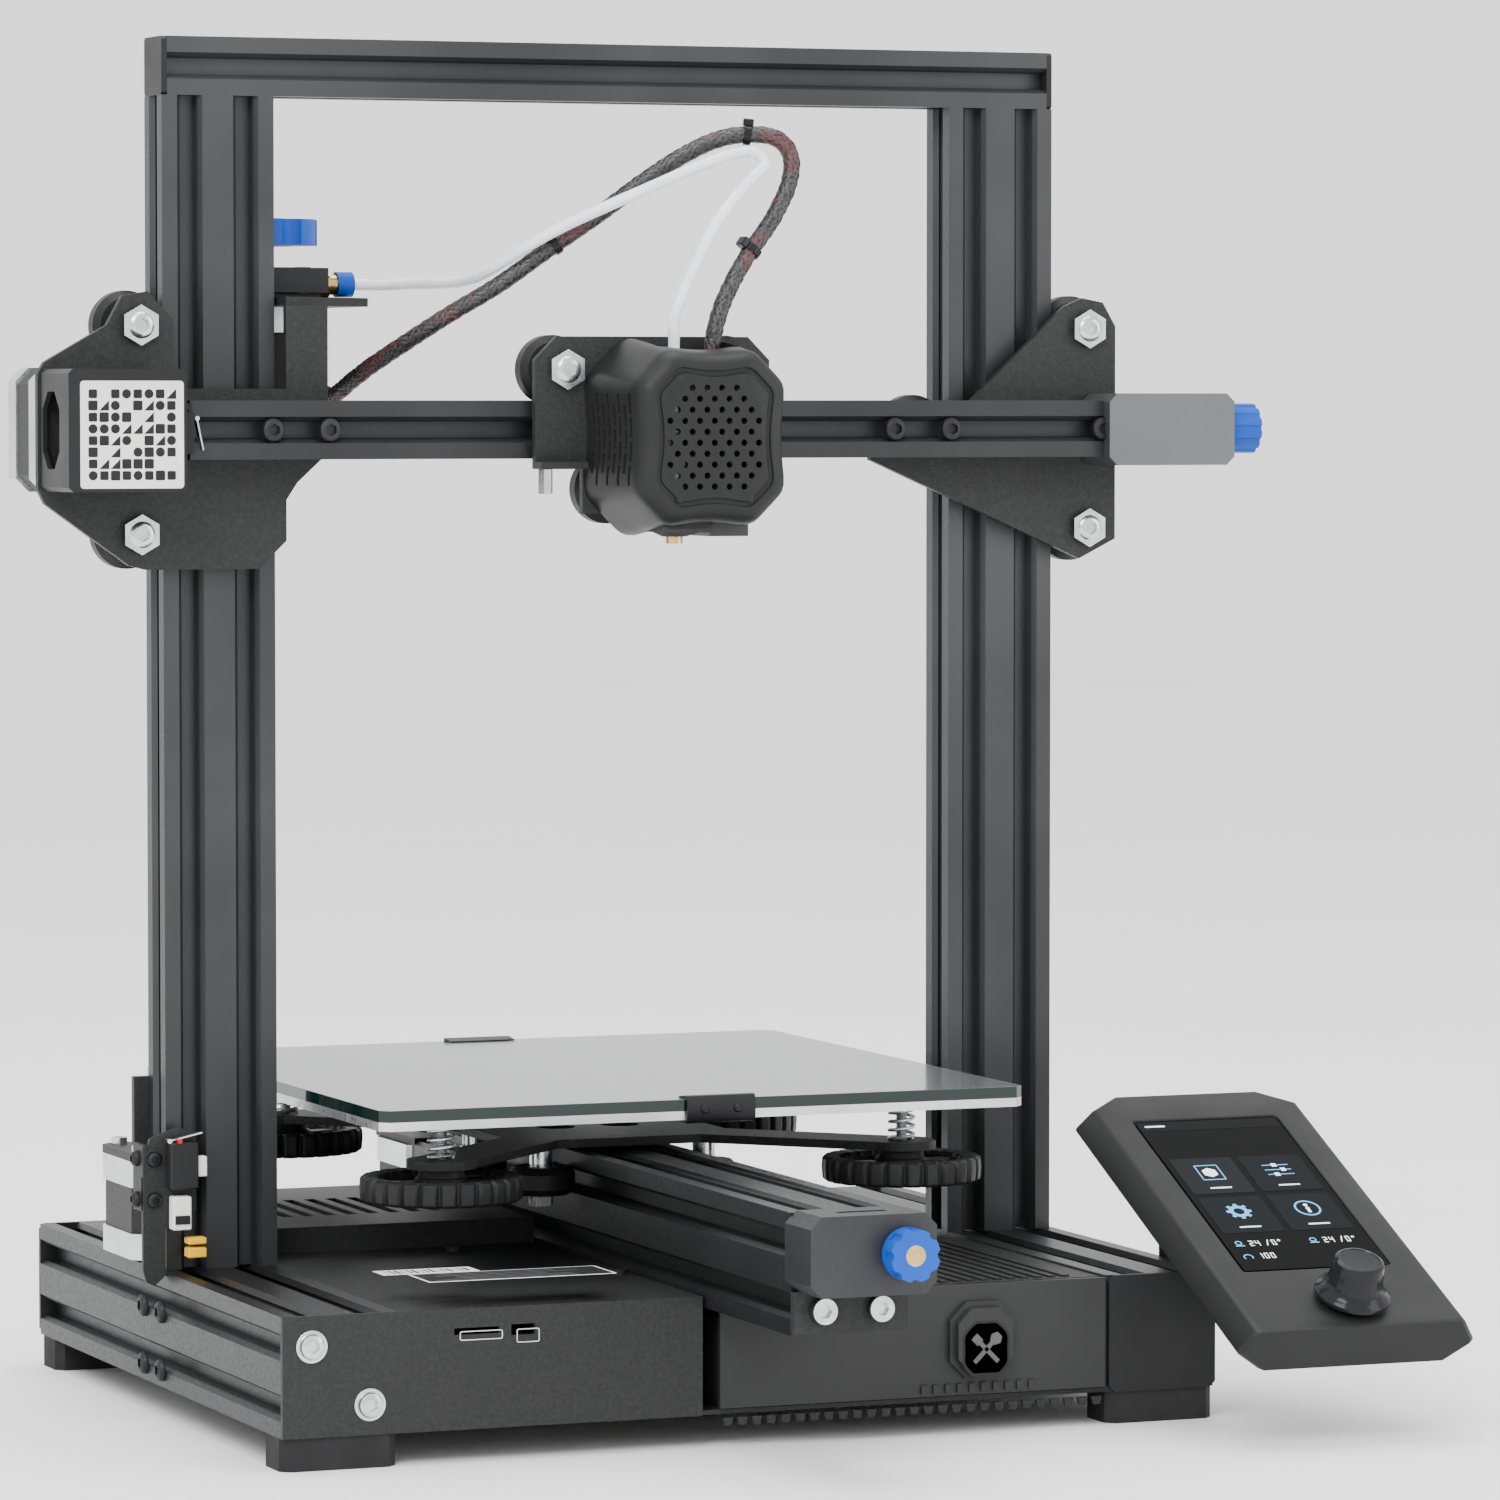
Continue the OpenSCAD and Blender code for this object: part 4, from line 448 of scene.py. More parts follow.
# ---------------------------------------------------------------- cords
TUBE_R, HARNESS_R = 2.0, 3.0
BOWDEN = [(-84.35, 174.95, 389.5), (-78, 174.95, 389.5), (-72, 174.95, 389.5), (-63, 167, 390), (-56, 155, 390),
          (-52, 142, 391), (-49, 130, 394), (-42, 121, 400), (-28, 113, 409), (-3, 104, 421), (20, 99, 431),
          (34, 96, 435), (39, 93, 431), (35, 91, 427), (26, 88, 419), (17, 85, 409), (9, 82, 396),
          (3, 80, 385), (0, 80, 377), (0, 80, 371), (0, 80, 366)]
HARNESS = [(-95, 198, 344), (-95, 190, 344), (-94, 182, 346), (-91, 169, 352), (-85, 156, 360), (-75, 144, 369),
           (-62, 134, 379), (-47, 126, 389), (-31, 121, 401), (-14, 117, 413), (0, 112, 424),
           (13, 108, 433), (25, 105, 439), (35, 102, 441), (45, 99, 440), (50, 97, 434), (49, 96, 424),
           (42, 95, 411), (33, 93, 400), (25, 91, 388), (20, 90, 377), (18, 90, 366), (18, 90, 351)]
TAIL = [(-95, 204, 344), (-95, 209, 344), (-95, 214, 344), (-99, 220, 339), (-105, 222, 328),
        (-111, 221, 308), (-117, 218, 285), (-122, 214, 255), (-125, 212, 220), (-125, 212, 180),
        (-124, 212, 140), (-124, 212, 105), (-124, 212, 80), (-124, 212, 60)]


def path_length(p):
    return sum((b - a).length for a, b in zip(p, p[1:]))


def braid_material():
    """Woven black sleeve with dark red wires showing through in patches from a noise."""
    n = Nodes("braided_sleeve")
    weave = n.noise(900, 2, 0.6)
    red = n.span(n.noise(70, 2, 0.5, (1, 1, 1)), 0.52, 0.62)
    base = n.mix(n.span(weave, 0.35, 0.7), (0.008, 0.008, 0.009), (0.045, 0.043, 0.045))
    n.put(n.bsdf.inputs["Base Color"], n.mix(n.math("MULTIPLY", red, 0.35), base, (0.12, 0.012, 0.014)))
    n.put(n.bsdf.inputs["Roughness"], n.span(weave, 0.3, 0.7, 0.3, 0.5))
    n.link(n.bump(weave, 0.5, 0.0003), n.bsdf.inputs["Normal"])
    return n.mat


def wire_material(name, color):
    n = Nodes(name)
    w = n.noise(400, 2)
    n.put(n.bsdf.inputs["Base Color"], n.mix(n.span(w, 0.3, 0.7), tuple(c * 0.7 for c in color), color))
    n.put(n.bsdf.inputs["Roughness"], n.span(w, 0.3, 0.7, 0.35, 0.5))
    n.link(n.bump(w, 0.2, 0.0002), n.bsdf.inputs["Normal"])
    return n.mat


m_braid = braid_material()
m_wire_red = wire_material("red_wires", (0.16, 0.012, 0.014))
m_wire_black = wire_material("black_wire", (0.012, 0.012, 0.013))


def harness(name, points, steps, radius, exits, body_a, body_b, start, end, flat=None):
    """A sleeved harness: dark wires inside, and braid strands wound both ways round them."""
    path = spline([M(*p) for p in points], steps)
    fine = spline(path, 4)
    frames = carried_frames(fine)
    total = path_length(fine)
    b = Build()
    core = radius * 0.80
    # Wires inside, twisted a little
    for k in range(5):
        line = []
        run = 0.0
        for i, (p, (t, u, v)) in enumerate(zip(fine, frames)):
            if i:
                run += (fine[i] - fine[i - 1]).length
            a = 2 * math.pi * k / 5 + run * 38
            line.append(p + core * 0.52 * (math.cos(a) * u + math.sin(a) * v))
        tube(b, line, core * 0.46, 7, 1 if k % 2 else 2)
    # Braid: strands both ways, each a flat ribbon standing up and down as it passes over and under
    strands, turn = 9, 210.0
    samples = int(total / 0.0011)
    dense = resample(fine, samples)
    dframes = carried_frames(dense)
    step = total / (len(dense) - 1)
    for way in (1, -1):
        for k in range(strands):
            rings = []
            for i, (p, (t, u, v)) in enumerate(zip(dense, dframes)):
                a = way * (2 * math.pi * k / strands + i * step * turn)
                out = math.cos(a) * u + math.sin(a) * v
                side = (t * 0.62 + way * (-math.sin(a) * u + math.cos(a) * v) * 0.78).normalized()
                wide = side.cross(out).normalized()
                lift = radius * (0.93 + 0.05 * way * math.sin(i * step * turn * strands / math.pi))
                c = p + out * lift
                w, h = radius * 0.25, radius * 0.05
                rings.append([c - wide * w - out * h, c + out * h, c + wide * w - out * h])
            b.loft(rings, 0, True)
    ob = make(name, b, [m_braid, m_wire_black, m_wire_red], None, 0, 60)
    return ob, path


def resample(path, n):
    """n points at even spacing along path."""
    run = [0.0]
    for a, b in zip(path, path[1:]):
        run.append(run[-1] + (b - a).length)
    out, j = [], 0
    for i in range(n):
        s = run[-1] * i / (n - 1)
        while j < len(path) - 2 and run[j + 1] < s:
            j += 1
        t = (s - run[j]) / max(1e-9, run[j + 1] - run[j])
        out.append(path[j].lerp(path[j + 1], max(0, min(1, t))))
    return out


def tube_material():
    """Clear-white sliding tube: light comes through it."""
    n = Nodes("bowden_white")
    w = n.noise(60, 3)
    n.put(n.bsdf.inputs["Base Color"], n.mix(n.span(w, 0.3, 0.7), (0.72, 0.75, 0.8), (0.86, 0.88, 0.9)))
    n.put(n.bsdf.inputs["Roughness"], n.span(n.noise(200, 2), 0.3, 0.7, 0.2, 0.34))
    n.bsdf.inputs["Subsurface Weight"].default_value = 0.35
    n.bsdf.inputs["Subsurface Radius"].default_value = (0.004, 0.004, 0.005)
    n.link(n.bump(n.noise(120, 2, 0.5, (1, 1, 1)), 0.05, 0.0002), n.bsdf.inputs["Normal"])
    return n.mat


m_tube = tube_material()

bowden_path = spline([M(*p) for p in BOWDEN], 2)
b = Build()
tube(b, spline(bowden_path, 3), TUBE_R / 1000, 16)
bowden = make("bowden_line", b, m_tube)
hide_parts("bowden_tube")

head_harness, head_path = harness("head_harness", HARNESS, 1, HARNESS_R / 1000, 0, "gantry", "carriage", 0, 0)
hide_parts("hotend_harness")

tail_harness, tail_path = harness("tail_harness", TAIL, 2, HARNESS_R / 1000, 0, "frame", "gantry", 0, 0)
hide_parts("gantry_harness")

# Ties round the harness


def tie_at(b, path, at, radius, width=0.0025, m=0, flat=None):
    run = 0.0
    for i, (a, c) in enumerate(zip(path, path[1:])):
        step = (c - a).length
        if run + step >= at:
            p = a.lerp(c, (at - run) / step)
            t = (c - a).normalized()
            w = axis_at(p, t)
            b.lathe([(radius - 0.0002, -width / 2), (radius + 0.0007, -width / 2), (radius + 0.0007, width / 2),
                     (radius - 0.0002, width / 2)], m, w, 20, False)
            b.box((radius, -0.0022, -width / 2 - 0.0006), (radius + 0.0026, 0.0022, width / 2 + 0.0006), m, w, 0.0004)
            return p
        run += step
    return None


ties = Build()
for at in (0.022, 0.128, 0.206, 0.262):
    tie_at(ties, head_path, at, HARNESS_R / 1000)
tie = make("harness_ties", ties, m_gloss, None, 0.0001)

for piece, pair, lo, hi in ((bowden, ("gantry", "carriage"), R(-84.35, 175, 0), R(0, 80, 0)),
                            (head_harness, ("gantry", "carriage"), R(-95, 175, 0), R(8, 92, 0)),
                            (tie, ("gantry", "carriage"), R(-95, 175, 0), R(8, 92, 0)),
                            (tail_harness, ("frame", "gantry"), R(-124, 212, 62), R(-124, 212, 340))):
    if pair[0] == "frame":
        lo, hi = (lo[0], lo[1], M(0, 0, 100).z), (lo[0], lo[1], M(0, 0, 338).z)
    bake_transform(piece)

# ---------------------------------------------------------------- materials of the CAD nodes


def zoned(name, kind, color, *zones):
    return material(name, kind, color, zones)


def boxed(lo, hi):
    return lambda n: n.in_box(lo, hi)


def axes(points, axis, radius):
    return lambda n: n.near_axis(points, axis, radius)


def between(axis, lo, hi):
    big = 900
    a, c = [-big] * 3, [big] * 3
    a[axis], c[axis] = lo, hi
    return boxed(a, c)


wheels_z = [(s * 176.6, 0, z) for s in (-1, 1) for z in (374.5, 303.5)] + [(s * 115.4, 0, 339) for s in (-1, 1)]
LOOKS = {
    "base_rails": m_dark_alu, "cross_beam": m_dark_alu, "y_rail": m_dark_alu, "uprights": m_grey_alu,
    "top_beam": m_grey_alu, "end_caps": m_plastic, "rubber_feet": m_rubber, "electronics_case": m_sheet,
    "mainboard": zoned("board_and_parts", "board", (0.01, 0.09, 0.045), (between(2, 20.65, 60), "machined", ALU)),
    "power_supply": zoned("supply_case", "machined", (0.55, 0.55, 0.53), (boxed((-200, 250, 20), (0, 300, 60)), "plastic", (0.02, 0.08, 0.03))),
    "power_inlet": zoned("inlet_black", "plastic", BLACK, (boxed((-101.5, 250, 24), (-87.5, 276, 38)), "brass", BRASS_C)),
    "power_switch": m_red, "drawer_housing": m_sheet, "drawer": material("drawer_moulding", "plastic", (0.026, 0.0263, 0.0268)), "display_screen": m_gloss,
    "encoder_shaft": m_brass,
    "z_motor": zoned("z_motor_finish", "sheet", (0.02, 0.02, 0.021), (boxed((-175, 150, 51), (-125, 200, 61)), "machined", ALU),
                     (boxed((-175, 150, 77), (-125, 200, 86.1)), "machined", ALU), (between(2, 89.05, 92), "steel", STEEL)),
    "lead_screw": zoned("screw_finish", "steel", STEEL, (between(2, 92, 117), "machined", ALU)),
    "z_endstop": zoned("endstop_finish", "sheet", SHEET, (boxed((-168.5, 121, 66.5), (-160, 128.01, 79.2)), "plastic", WHITE),
                       (boxed((-176, 125, 75), (-172, 128, 92)), "steel", STEEL)),
    "z_endstop_lever": m_steel,
    "y_motor": zoned("y_motor_finish", "sheet", (0.02, 0.02, 0.021), (boxed((-22, 298.5, 37), (22, 340, 47)), "machined", ALU),
                     (boxed((-22, 298.5, 63), (22, 340, 71.95)), "machined", ALU)),
    "y_pulley": m_machined, "y_belt": m_rubber,
    "y_tensioner": zoned("y_tensioner_finish", "blasted", (0.05, 0.051, 0.054), (between(2, 40, 61.4), "sheet", SHEET),
                         (axes([(-10, 0, 55), (10, 0, 55)], "Y", 4.2), "steel", STEEL)),
    "y_tension_knob": zoned("y_knob_finish", "plastic", BLUE, (axes([(11, 0, 75)], "Y", 3.4), "brass", BRASS_C)),
    "frame_screws": zoned("screws_finish", "blasted", (0.03, 0.03, 0.032), (boxed((-170, -5, 0), (-20, 0.5, 60)), "steel", STEEL),
                          (between(2, 470, 480), "steel", STEEL)),
    "bed_carriage": m_sheet,
    "bed_wheels": zoned("bed_wheel_finish", "plastic", BLACK, (axes([(s * 30.6, 165 + t * 35, 0) for s in (-1, 1) for t in (-1, 1)], "Z", 4.9), "steel", STEEL)),
    "x_beam": m_dark_alu, "gantry_plates": zoned("gantry_plate_finish", "sheet", SHEET, (boxed((-160, 166, 369), (-140, 186, 390)), "brass", BRASS_C)),
    "gantry_wheels": zoned("gantry_wheel_finish", "plastic", BLACK, (axes(wheels_z, "Y", 4.9), "steel", STEEL)),
    "x_motor": zoned("x_motor_finish", "sheet", (0.02, 0.02, 0.021), (boxed((-215, 128, 300), (-160, 138, 370)), "machined", ALU),
                     (boxed((-215, 154, 300), (-160, 164, 370)), "machined", ALU)),
    "x_pulley": m_machined, "x_motor_cover": m_plastic, "x_endstop_lever": m_steel, "x_belt": m_rubber,
    "x_tensioner": material("x_tensioner_finish", "blasted", (0.13, 0.132, 0.135)),
    "x_tension_knob": zoned("x_knob_finish", "plastic", BLUE, (boxed((235.6, 108, 333), (240, 120, 345)), "brass", BRASS_C)),
    "extruder_motor": zoned("extruder_motor_finish", "sheet", (0.02, 0.02, 0.021), (between(2, 343, 352.4), "machined", ALU),
                            (between(2, 372.6, 381.4), "machined", ALU)),
    "extruder_body": zoned("extruder_finish", "blasted", (0.03, 0.03, 0.033), (boxed((-100.3, 168, 383), (-90.36, 182, 397)), "brass", BRASS_C),
                           (boxed((-90.34, 168, 383), (-84, 182, 397)), "plastic", BLUE)),
    "extruder_arm": material("extruder_arm_finish", "blasted", (0.035, 0.035, 0.038)), "extruder_knob": m_blue,
    "carriage_plate": zoned("carriage_finish", "sheet", SHEET, (boxed((-46, 90, 310), (-36, 106, 325.4)), "steel", STEEL)),
    "carriage_wheels": zoned("carriage_wheel_finish", "plastic", BLACK, (axes([(-32, 0, 359.6), (32, 0, 359.6), (-12, 0, 318.4)], "Y", 4.9), "steel", STEEL)),
    "hotend": zoned("hotend_finish", "machined", ALU, (boxed((-4, 76, 299), (4, 84, 304)), "brass", BRASS_C),
                    (boxed((-9, 68, 304), (10.9, 90, 316)), "rubber", (0.02, 0.02, 0.021)), (boxed((10.9, 70, 299), (34, 110, 353)), "plastic", BLACK)),
    "hotend_fan": m_plastic,
    "heated_bed": zoned("heated_bed_finish", "machined", ALU, (boxed((-14.5, 255, 99), (14.5, 271, 104.95)), "plastic", BLACK)), "display_case": m_grey_plastic,
    "encoder_knob": m_gloss, "fan_shroud": m_grey_plastic, "electronics_lid": m_sheet,
}
for name, look in LOOKS.items():
    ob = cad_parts[name]
    ob.data.materials.clear()
    ob.data.materials.append(look)


def glass_material():
    """Coated glass: green at its edge, a faint dotted coating on top that mirrors the studio."""
    n = Nodes("coated_glass")
    x = n.xyz()
    top = n.math("GREATER_THAN", x[2], 0.11185)
    dots = n.cells(700, "F1")
    base = n.mix(top, (0.002, 0.012, 0.009), n.mix(n.span(dots, 0.2, 0.45), (0.16, 0.17, 0.17), (0.1, 0.108, 0.108)))
    n.put(n.bsdf.inputs["Base Color"], base)
    n.put(n.bsdf.inputs["Roughness"], n.span(top, 0, 1, 0.06, 0.17))
    n.link(n.bump(dots, 0.05, 0.0001), n.bsdf.inputs["Normal"])
    n.bsdf.inputs["IOR"].default_value = 1.6
    n.bsdf.inputs["Specular IOR Level"].default_value = 0.3
    return n.mat


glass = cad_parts["glass_plate"]
glass.data.materials.clear()
glass.data.materials.append(glass_material())
for name, width in (("base_rails", 0.0003), ("y_rail", 0.0003), ("uprights", 0.0003), ("top_beam", 0.0003), ("x_beam", 0.0003),
                    ("cross_beam", 0.0003), ("end_caps", 0.0006), ("rubber_feet", 0.0012), ("electronics_case", 0.0004),
                    ("electronics_lid", 0.0005), ("drawer", 0.0006), ("drawer_housing", 0.0004), ("gantry_plates", 0.0004),
                    ("carriage_plate", 0.0005), ("x_motor_cover", 0.0007), ("x_tensioner", 0.0007), ("y_tensioner", 0.0005),
                    ("z_endstop", 0.0003), ("bed_carriage", 0.0004), ("heated_bed", 0.0003), ("glass_plate", 0.0003),
                    ("z_motor", 0.0004), ("x_motor", 0.0004), ("y_motor", 0.0004), ("extruder_motor", 0.0004),
                    ("extruder_body", 0.0003), ("extruder_arm", 0.0004), ("power_inlet", 0.0004), ("power_switch", 0.0004),
                    ("x_tension_knob", 0.0003), ("y_tension_knob", 0.0003), ("extruder_knob", 0.0007)):
    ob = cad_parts[name]
    bevel_edges(ob, width, 2, 50)

# ---------------------------------------------------------------- floor, light
n = Nodes("floor_paper")
n.put(n.bsdf.inputs["Base Color"], n.mix(n.span(n.noise(3, 3), 0.3, 0.7), (0.93, 0.93, 0.93), (0.96, 0.96, 0.96)))
n.bsdf.inputs["Roughness"].default_value = 0.6
floor = make("floor", Build().add([(-6, -6, 0), (6, -6, 0), (6, 6, 0), (-6, 6, 0)], [(0, 1, 2, 3)]), n.mat)
world = bpy.data.worlds.new("studio")
scene.world = world
world.use_nodes = True
world.node_tree.nodes["Background"].inputs[0].default_value = (1, 1, 1, 1)
world.node_tree.nodes["Background"].inputs[1].default_value = 1.7


def area_light(name, at, to, size, power):
    light = bpy.data.lights.new(name, "AREA")
    light.shape = "RECTANGLE"
    light.size, light.size_y = size
    light.energy = power
    ob = bpy.data.objects.new(name, light)
    scene.collection.objects.link(ob)
    ob.location = at
    ob.rotation_euler = (Vector(to) - Vector(at)).to_track_quat("-Z", "Y").to_euler()
    return ob


area_light("key", (-1.4, -1.8, 1.9), (0, 0, 0.2), (1.2, 1.2), 52)
area_light("fill", (1.7, -1.5, 0.9), (0, 0, 0.2), (1.0, 1.4), 16)
area_light("top", (0, 0.1, 2.2), (0, 0, 0.2), (1.6, 1.6), 36)
# ---------------------------------------------------------------- detail pieces
MM = Matrix.Translation(M(0, 0, 0)) @ Matrix.Scale(0.001, 4)


def on(origin, z=(0, 0, 1), x=None):
    """Machine millimetres with the local Z along z."""
    return MM @ axis_at(origin, z, x)


def cushion(cx, cz, w, h, c, sag, inset, y, steps=10):
    """Octagon ring in the plane y whose four long sides are pulled in by sag."""
    a, b, c = w / 2 - inset, h / 2 - inset, max(c - inset * 0.586, 0.5)
    corners = [(-a + c, -b), (a - c, -b), (a, -b + c), (a, b - c), (a - c, b), (-a + c, b), (-a, b - c), (-a, -b + c)]
    out = []
    for i, p in enumerate(corners):
        q = corners[(i + 1) % 8]
        nx, nz = -(q[1] - p[1]), q[0] - p[0]
        size = math.hypot(nx, nz)
        pull = sag if i % 2 == 0 else 0
        for s in range(steps):
            t = s / steps
            k = pull * 4 * t * (1 - t)
            out.append((cx + p[0] + (q[0] - p[0]) * t + nx / size * k, y, cz + p[1] + (q[1] - p[1]) * t + nz / size * k))
    for _ in range(3):
        out = [(0.25 * a[0] + 0.5 * p[0] + 0.25 * c[0], y, 0.25 * a[2] + 0.5 * p[2] + 0.25 * c[2])
               for a, p, c in zip(out[-1:] + out[:-1], out, out[1:] + out[:1])]
    return out


def ring_solid(b, profile, m=0, at=None, n=48, shape=None):
    """A ring turned from a closed (radius, height) profile about local Z."""
    rings = []
    for j in range(n):
        a = 2 * math.pi * j / n
        k = shape(a) if shape else 1
        rings.append([((r * (k if r > profile[0][0] + 0.01 else 1)) * math.cos(a),
                       (r * (k if r > profile[0][0] + 0.01 else 1)) * math.sin(a), h) for r, h in profile])
    return b.loft(rings, m, False, at, closed=True)


def flat_plate(b, points, z0, z1, m=0, at=None):
    """Plate with the outline points (x, y), from z0 to z1."""
    return b.loft([[(x, y, z0) for x, y in points], [(x, y, z1) for x, y in points]], m, True, at)


def rounded(cx, cy, w, h, r, steps=4):
    out = []
    for sx, sy, a0 in ((1, 1, 0), (-1, 1, 90), (-1, -1, 180), (1, -1, 270)):
        for i in range(steps + 1):
            a = math.radians(a0 + 90 * i / steps)
            out.append((cx + sx * (w / 2 - r) + r * math.cos(a), cy + sy * (h / 2 - r) + r * math.sin(a)))
    return out


def disc(cx, cy, r, n=20, start=0.0):
    return [(cx + r * math.cos(start + 2 * math.pi * i / n), cy + r * math.sin(start + 2 * math.pi * i / n)) for i in range(n)]


def screw(b, origin, axis, r=3.6, h=2.4, m=0, recess=1):
    """Button-head screw with a hexagon recess."""
    def hexed(i, a):
        return 1.0 if i < 4 else 0.92 / max(math.cos((a % (math.pi / 3)) - math.pi / 6), 0.5)
    b.lathe([(r, 0), (r, h * 0.35), (r * 0.88, h * 0.75), (r * 0.6, h), (r * 0.47, h), (r * 0.45, h * 0.35)],
            m, on(origin, axis), 24, True, hexed)


# Cover of the print head
CX, CZ, COVER_BACK = 6.5, 336.5, 100
cover = Build()
# Inset and depth of each ring: inside the shell from the front, round the back edge, then outside to the front
COVER_RINGS = [(5.4, 60.3), (5.0, 60.4), (2.6, 62.4), (1.8, 66), (-0.4, 82), (-2.4, COVER_BACK), (-4.2, COVER_BACK), (-2.4, 84), (-0.2, 67),
               (0.1, 64.2), (0.7, 62.2), (1.7, 60.4), (3.2, 59), (4.8, 58.3), (5.9, 58.0), (6.2, 58.1), (6.5, 58.9), (7.5, 59.1),
               (8.0, 58.9), (8.3, 58.2), (8.7, 58.05)]
rings = [cushion(CX, CZ, 57, 61.5, 13, 2.0, k, y) for k, y in COVER_RINGS]
cover.loft(rings, 0, True, MM)
cover_ob = make("head_cover", cover, m_grey_plastic)
tool = Build()
rows = 12
for r in range(rows):
    z = CZ - 20.5 + r * 3.73
    for c in range(9):
        x = CX - 19 + c * 5.4 - (2.7 if r % 2 else 0)
        dx, dz = abs(x - CX), abs(z - CZ)
        if dx < 18.5 and dz < 18.9 and dx + dz < 28.5:
            tool.lathe([(1.14, -1), (1.14, 5)], 0, on((x, 57, z), (0, 1, 0)), 10)
for c in range(8):
    y = 67.5 + c * 3.9
    for r in range(4):
        z = 320 + r * 8.2 + (4.1 if c % 2 else 0)
        if z < 346:
            tool.box((-32, y - 0.8, z), (-14, y + 0.8, z + 6.8), 0, MM, 0.25)
tool.box((-8, 73, 362), (22, 101, 374), 0, MM, 1.5)
tool.box((-7, 66, 297), (23, 101, 312), 0, MM, 1.5)
cut(cover_ob, make("head_cover_tool", tool, m_grey_plastic))
bevel_edges(cover_ob, 0.00018, 1, 50)
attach(cover_ob, "carriage")
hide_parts("fan_shroud")

b = Build()
for x, z in ((-10, 357), (23, 357), (-10, 315), (23, 315)):
    b.lathe([(1.3, 0), (1.2, 0.5), (0.5, 0.8)], 0, on((CX + (x - CX) * 0.78, 58.6, CZ + (z - CZ) * 0.98), (0, -1, 0)), 14)
ob = make("head_cover_pins", b, m_grey_plastic, "carriage")

# Sock round the heater block, and its brass nozzle
b = Build()


def soft_square(cx, cy, w, h, r, z):
    return [(x, y, z) for x, y in rounded(cx, cy, w, h, r, 5)]


b.loft([soft_square(1, 79, 19, 21, 2, 315.2), soft_square(1, 79, 19.4, 21.4, 2.4, 306.4),
        soft_square(0.9, 79.1, 18, 20, 3, 305), soft_square(0.4, 79.6, 12, 13, 4, 303.4), soft_square(0, 80, 8, 8, 3.6, 302.4),
        soft_square(0, 80, 6.4, 6.4, 3, 302.5)], 0, True, MM)
ob = make("nozzle_sock", b, m_rubber, "carriage", 0.0002)
b = Build()
b.lathe([(0.4, 0), (0.55, 0.05), (1.9, 1.9), (2.9, 2.1), (3.1, 2.5), (3.1, 4.4)], 0, on((0, 80, 299.95), (0, 0, 1)), 24, True,
        lambda i, a: 1.0 if i < 3 else 0.95 / max(math.cos((a % (math.pi / 3)) - math.pi / 6), 0.5) * 0.93)
ob = make("nozzle_tip", b, m_brass, "carriage")

# Levelling wheels: scalloped rim, spokes and hub
BED_Y, SCREW = 165, 85
bed_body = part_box("bed_knob_front_left")
for name, sx, sy in (("front_left", -1, -1), ("front_right", 1, -1), ("rear_left", -1, 1), ("rear_right", 1, 1)):
    at = on((sx * SCREW, BED_Y + sy * SCREW, 79.3))
    b = Build()
    ring_solid(b, [(20.5, 0), (22, -1.4), (26.4, -1.9), (27.6, -0.9), (27.9, 3), (27.7, 6), (26.6, 6.9), (22, 6.4), (20.5, 5)],
               0, at, 288, lambda a: 1 - 0.06 * max(0.0, math.cos(26 * a)) ** 3)
    b.lathe([(8.6, 0.4), (9, 0.9), (9, 5.6), (8.4, 6.2), (8, 6.2), (7.8, 8.6), (7, 8.8), (3.2, 8.8)], 0, at, 40)
    for i in range(5):
        a = 2 * math.pi * i / 5 + 0.3
        spoke = at @ Matrix.Rotation(a, 4, "Z")
        b.box((7.5, -3.2, 1.2), (21.5, 3.2, 4.8), 0, spoke, 0.6)
    b.lathe([(4.6, -0.1), (4.6, -1.4), (3.8, -1.8), (2.1, -1.8)], 1, at, 6)
    ob = make("level_wheel_" + name, b, [m_plastic, m_steel], "level_knob_" + name, 0.0002)
    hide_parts("bed_knob_" + name)

# Springs, screws and clips of the bed
b = Build()
for sx in (-1, 1):
    for sy in (-1, 1):
        x, y = sx * SCREW, BED_Y + sy * SCREW
        path = []
        turns, z0, z1 = 5.2, 92.1, 104.5
        for i in range(110):
            t = i / 109
            flat = min(max((t - 0.1) / 0.8, 0), 1)
            a = 2 * math.pi * turns * t
            path.append(M(x + 4.3 * math.cos(a), y + 4.3 * math.sin(a), z0 + (z1 - z0) * flat))
        tube(b, path, 0.00062, 8, 0)
        b.lathe([(1.6, 0), (2, 0.4)] + [(2 if i % 2 else 1.75, 0.7 + i * 0.35) for i in range(76)], 1,
                on((x, y, 77.2)), 16)
for s, cx in ((1, 4), (-1, 0)):
    outline = [(7.5, 104.1), (1, 103.7), (-0.6, 104.2), (-1.5, 105.6), (-1.6, 108.6), (-1.5, 111.8), (-0.7, 113.1), (0.9, 113.3),
               (7, 112.5)]
    inner = [(7.5, 104.9), (1, 104.6), (0, 105), (-0.6, 106), (-0.7, 108.6), (-0.6, 111.3), (0, 112.1), (0.9, 112.4), (7, 112.05)]
    loop = outline + inner[::-1]
    y0 = BED_Y - s * 117.5
    b.loft([[(cx + x, y0 + s * p, z) for p, z in loop] for x in (-12.5, -12, 0, 12, 12.5)], 2, True, MM)
    for hx in (-6, 6):
        b.lathe([(1.5, 0), (1.5, 0.5), (1.1, 0.9)], 2, on((cx + hx, y0 - s * 1.5, 108.6), (0, -s, 0)), 14)
ob = make("bed_springs_and_clips", b, [m_machined, m_steel, m_black_steel], "bed", 0.00008)
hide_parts("bed_hardware")

# Display: case, screen picture and knob
TILT = math.radians(25.4)
PANEL = MM @ Matrix.Translation((184, -80, 40.5)) @ Matrix.Rotation(TILT, 4, "X")
SCREEN_W, SCREEN_L, SCREEN_S = 54, 97, 86.5


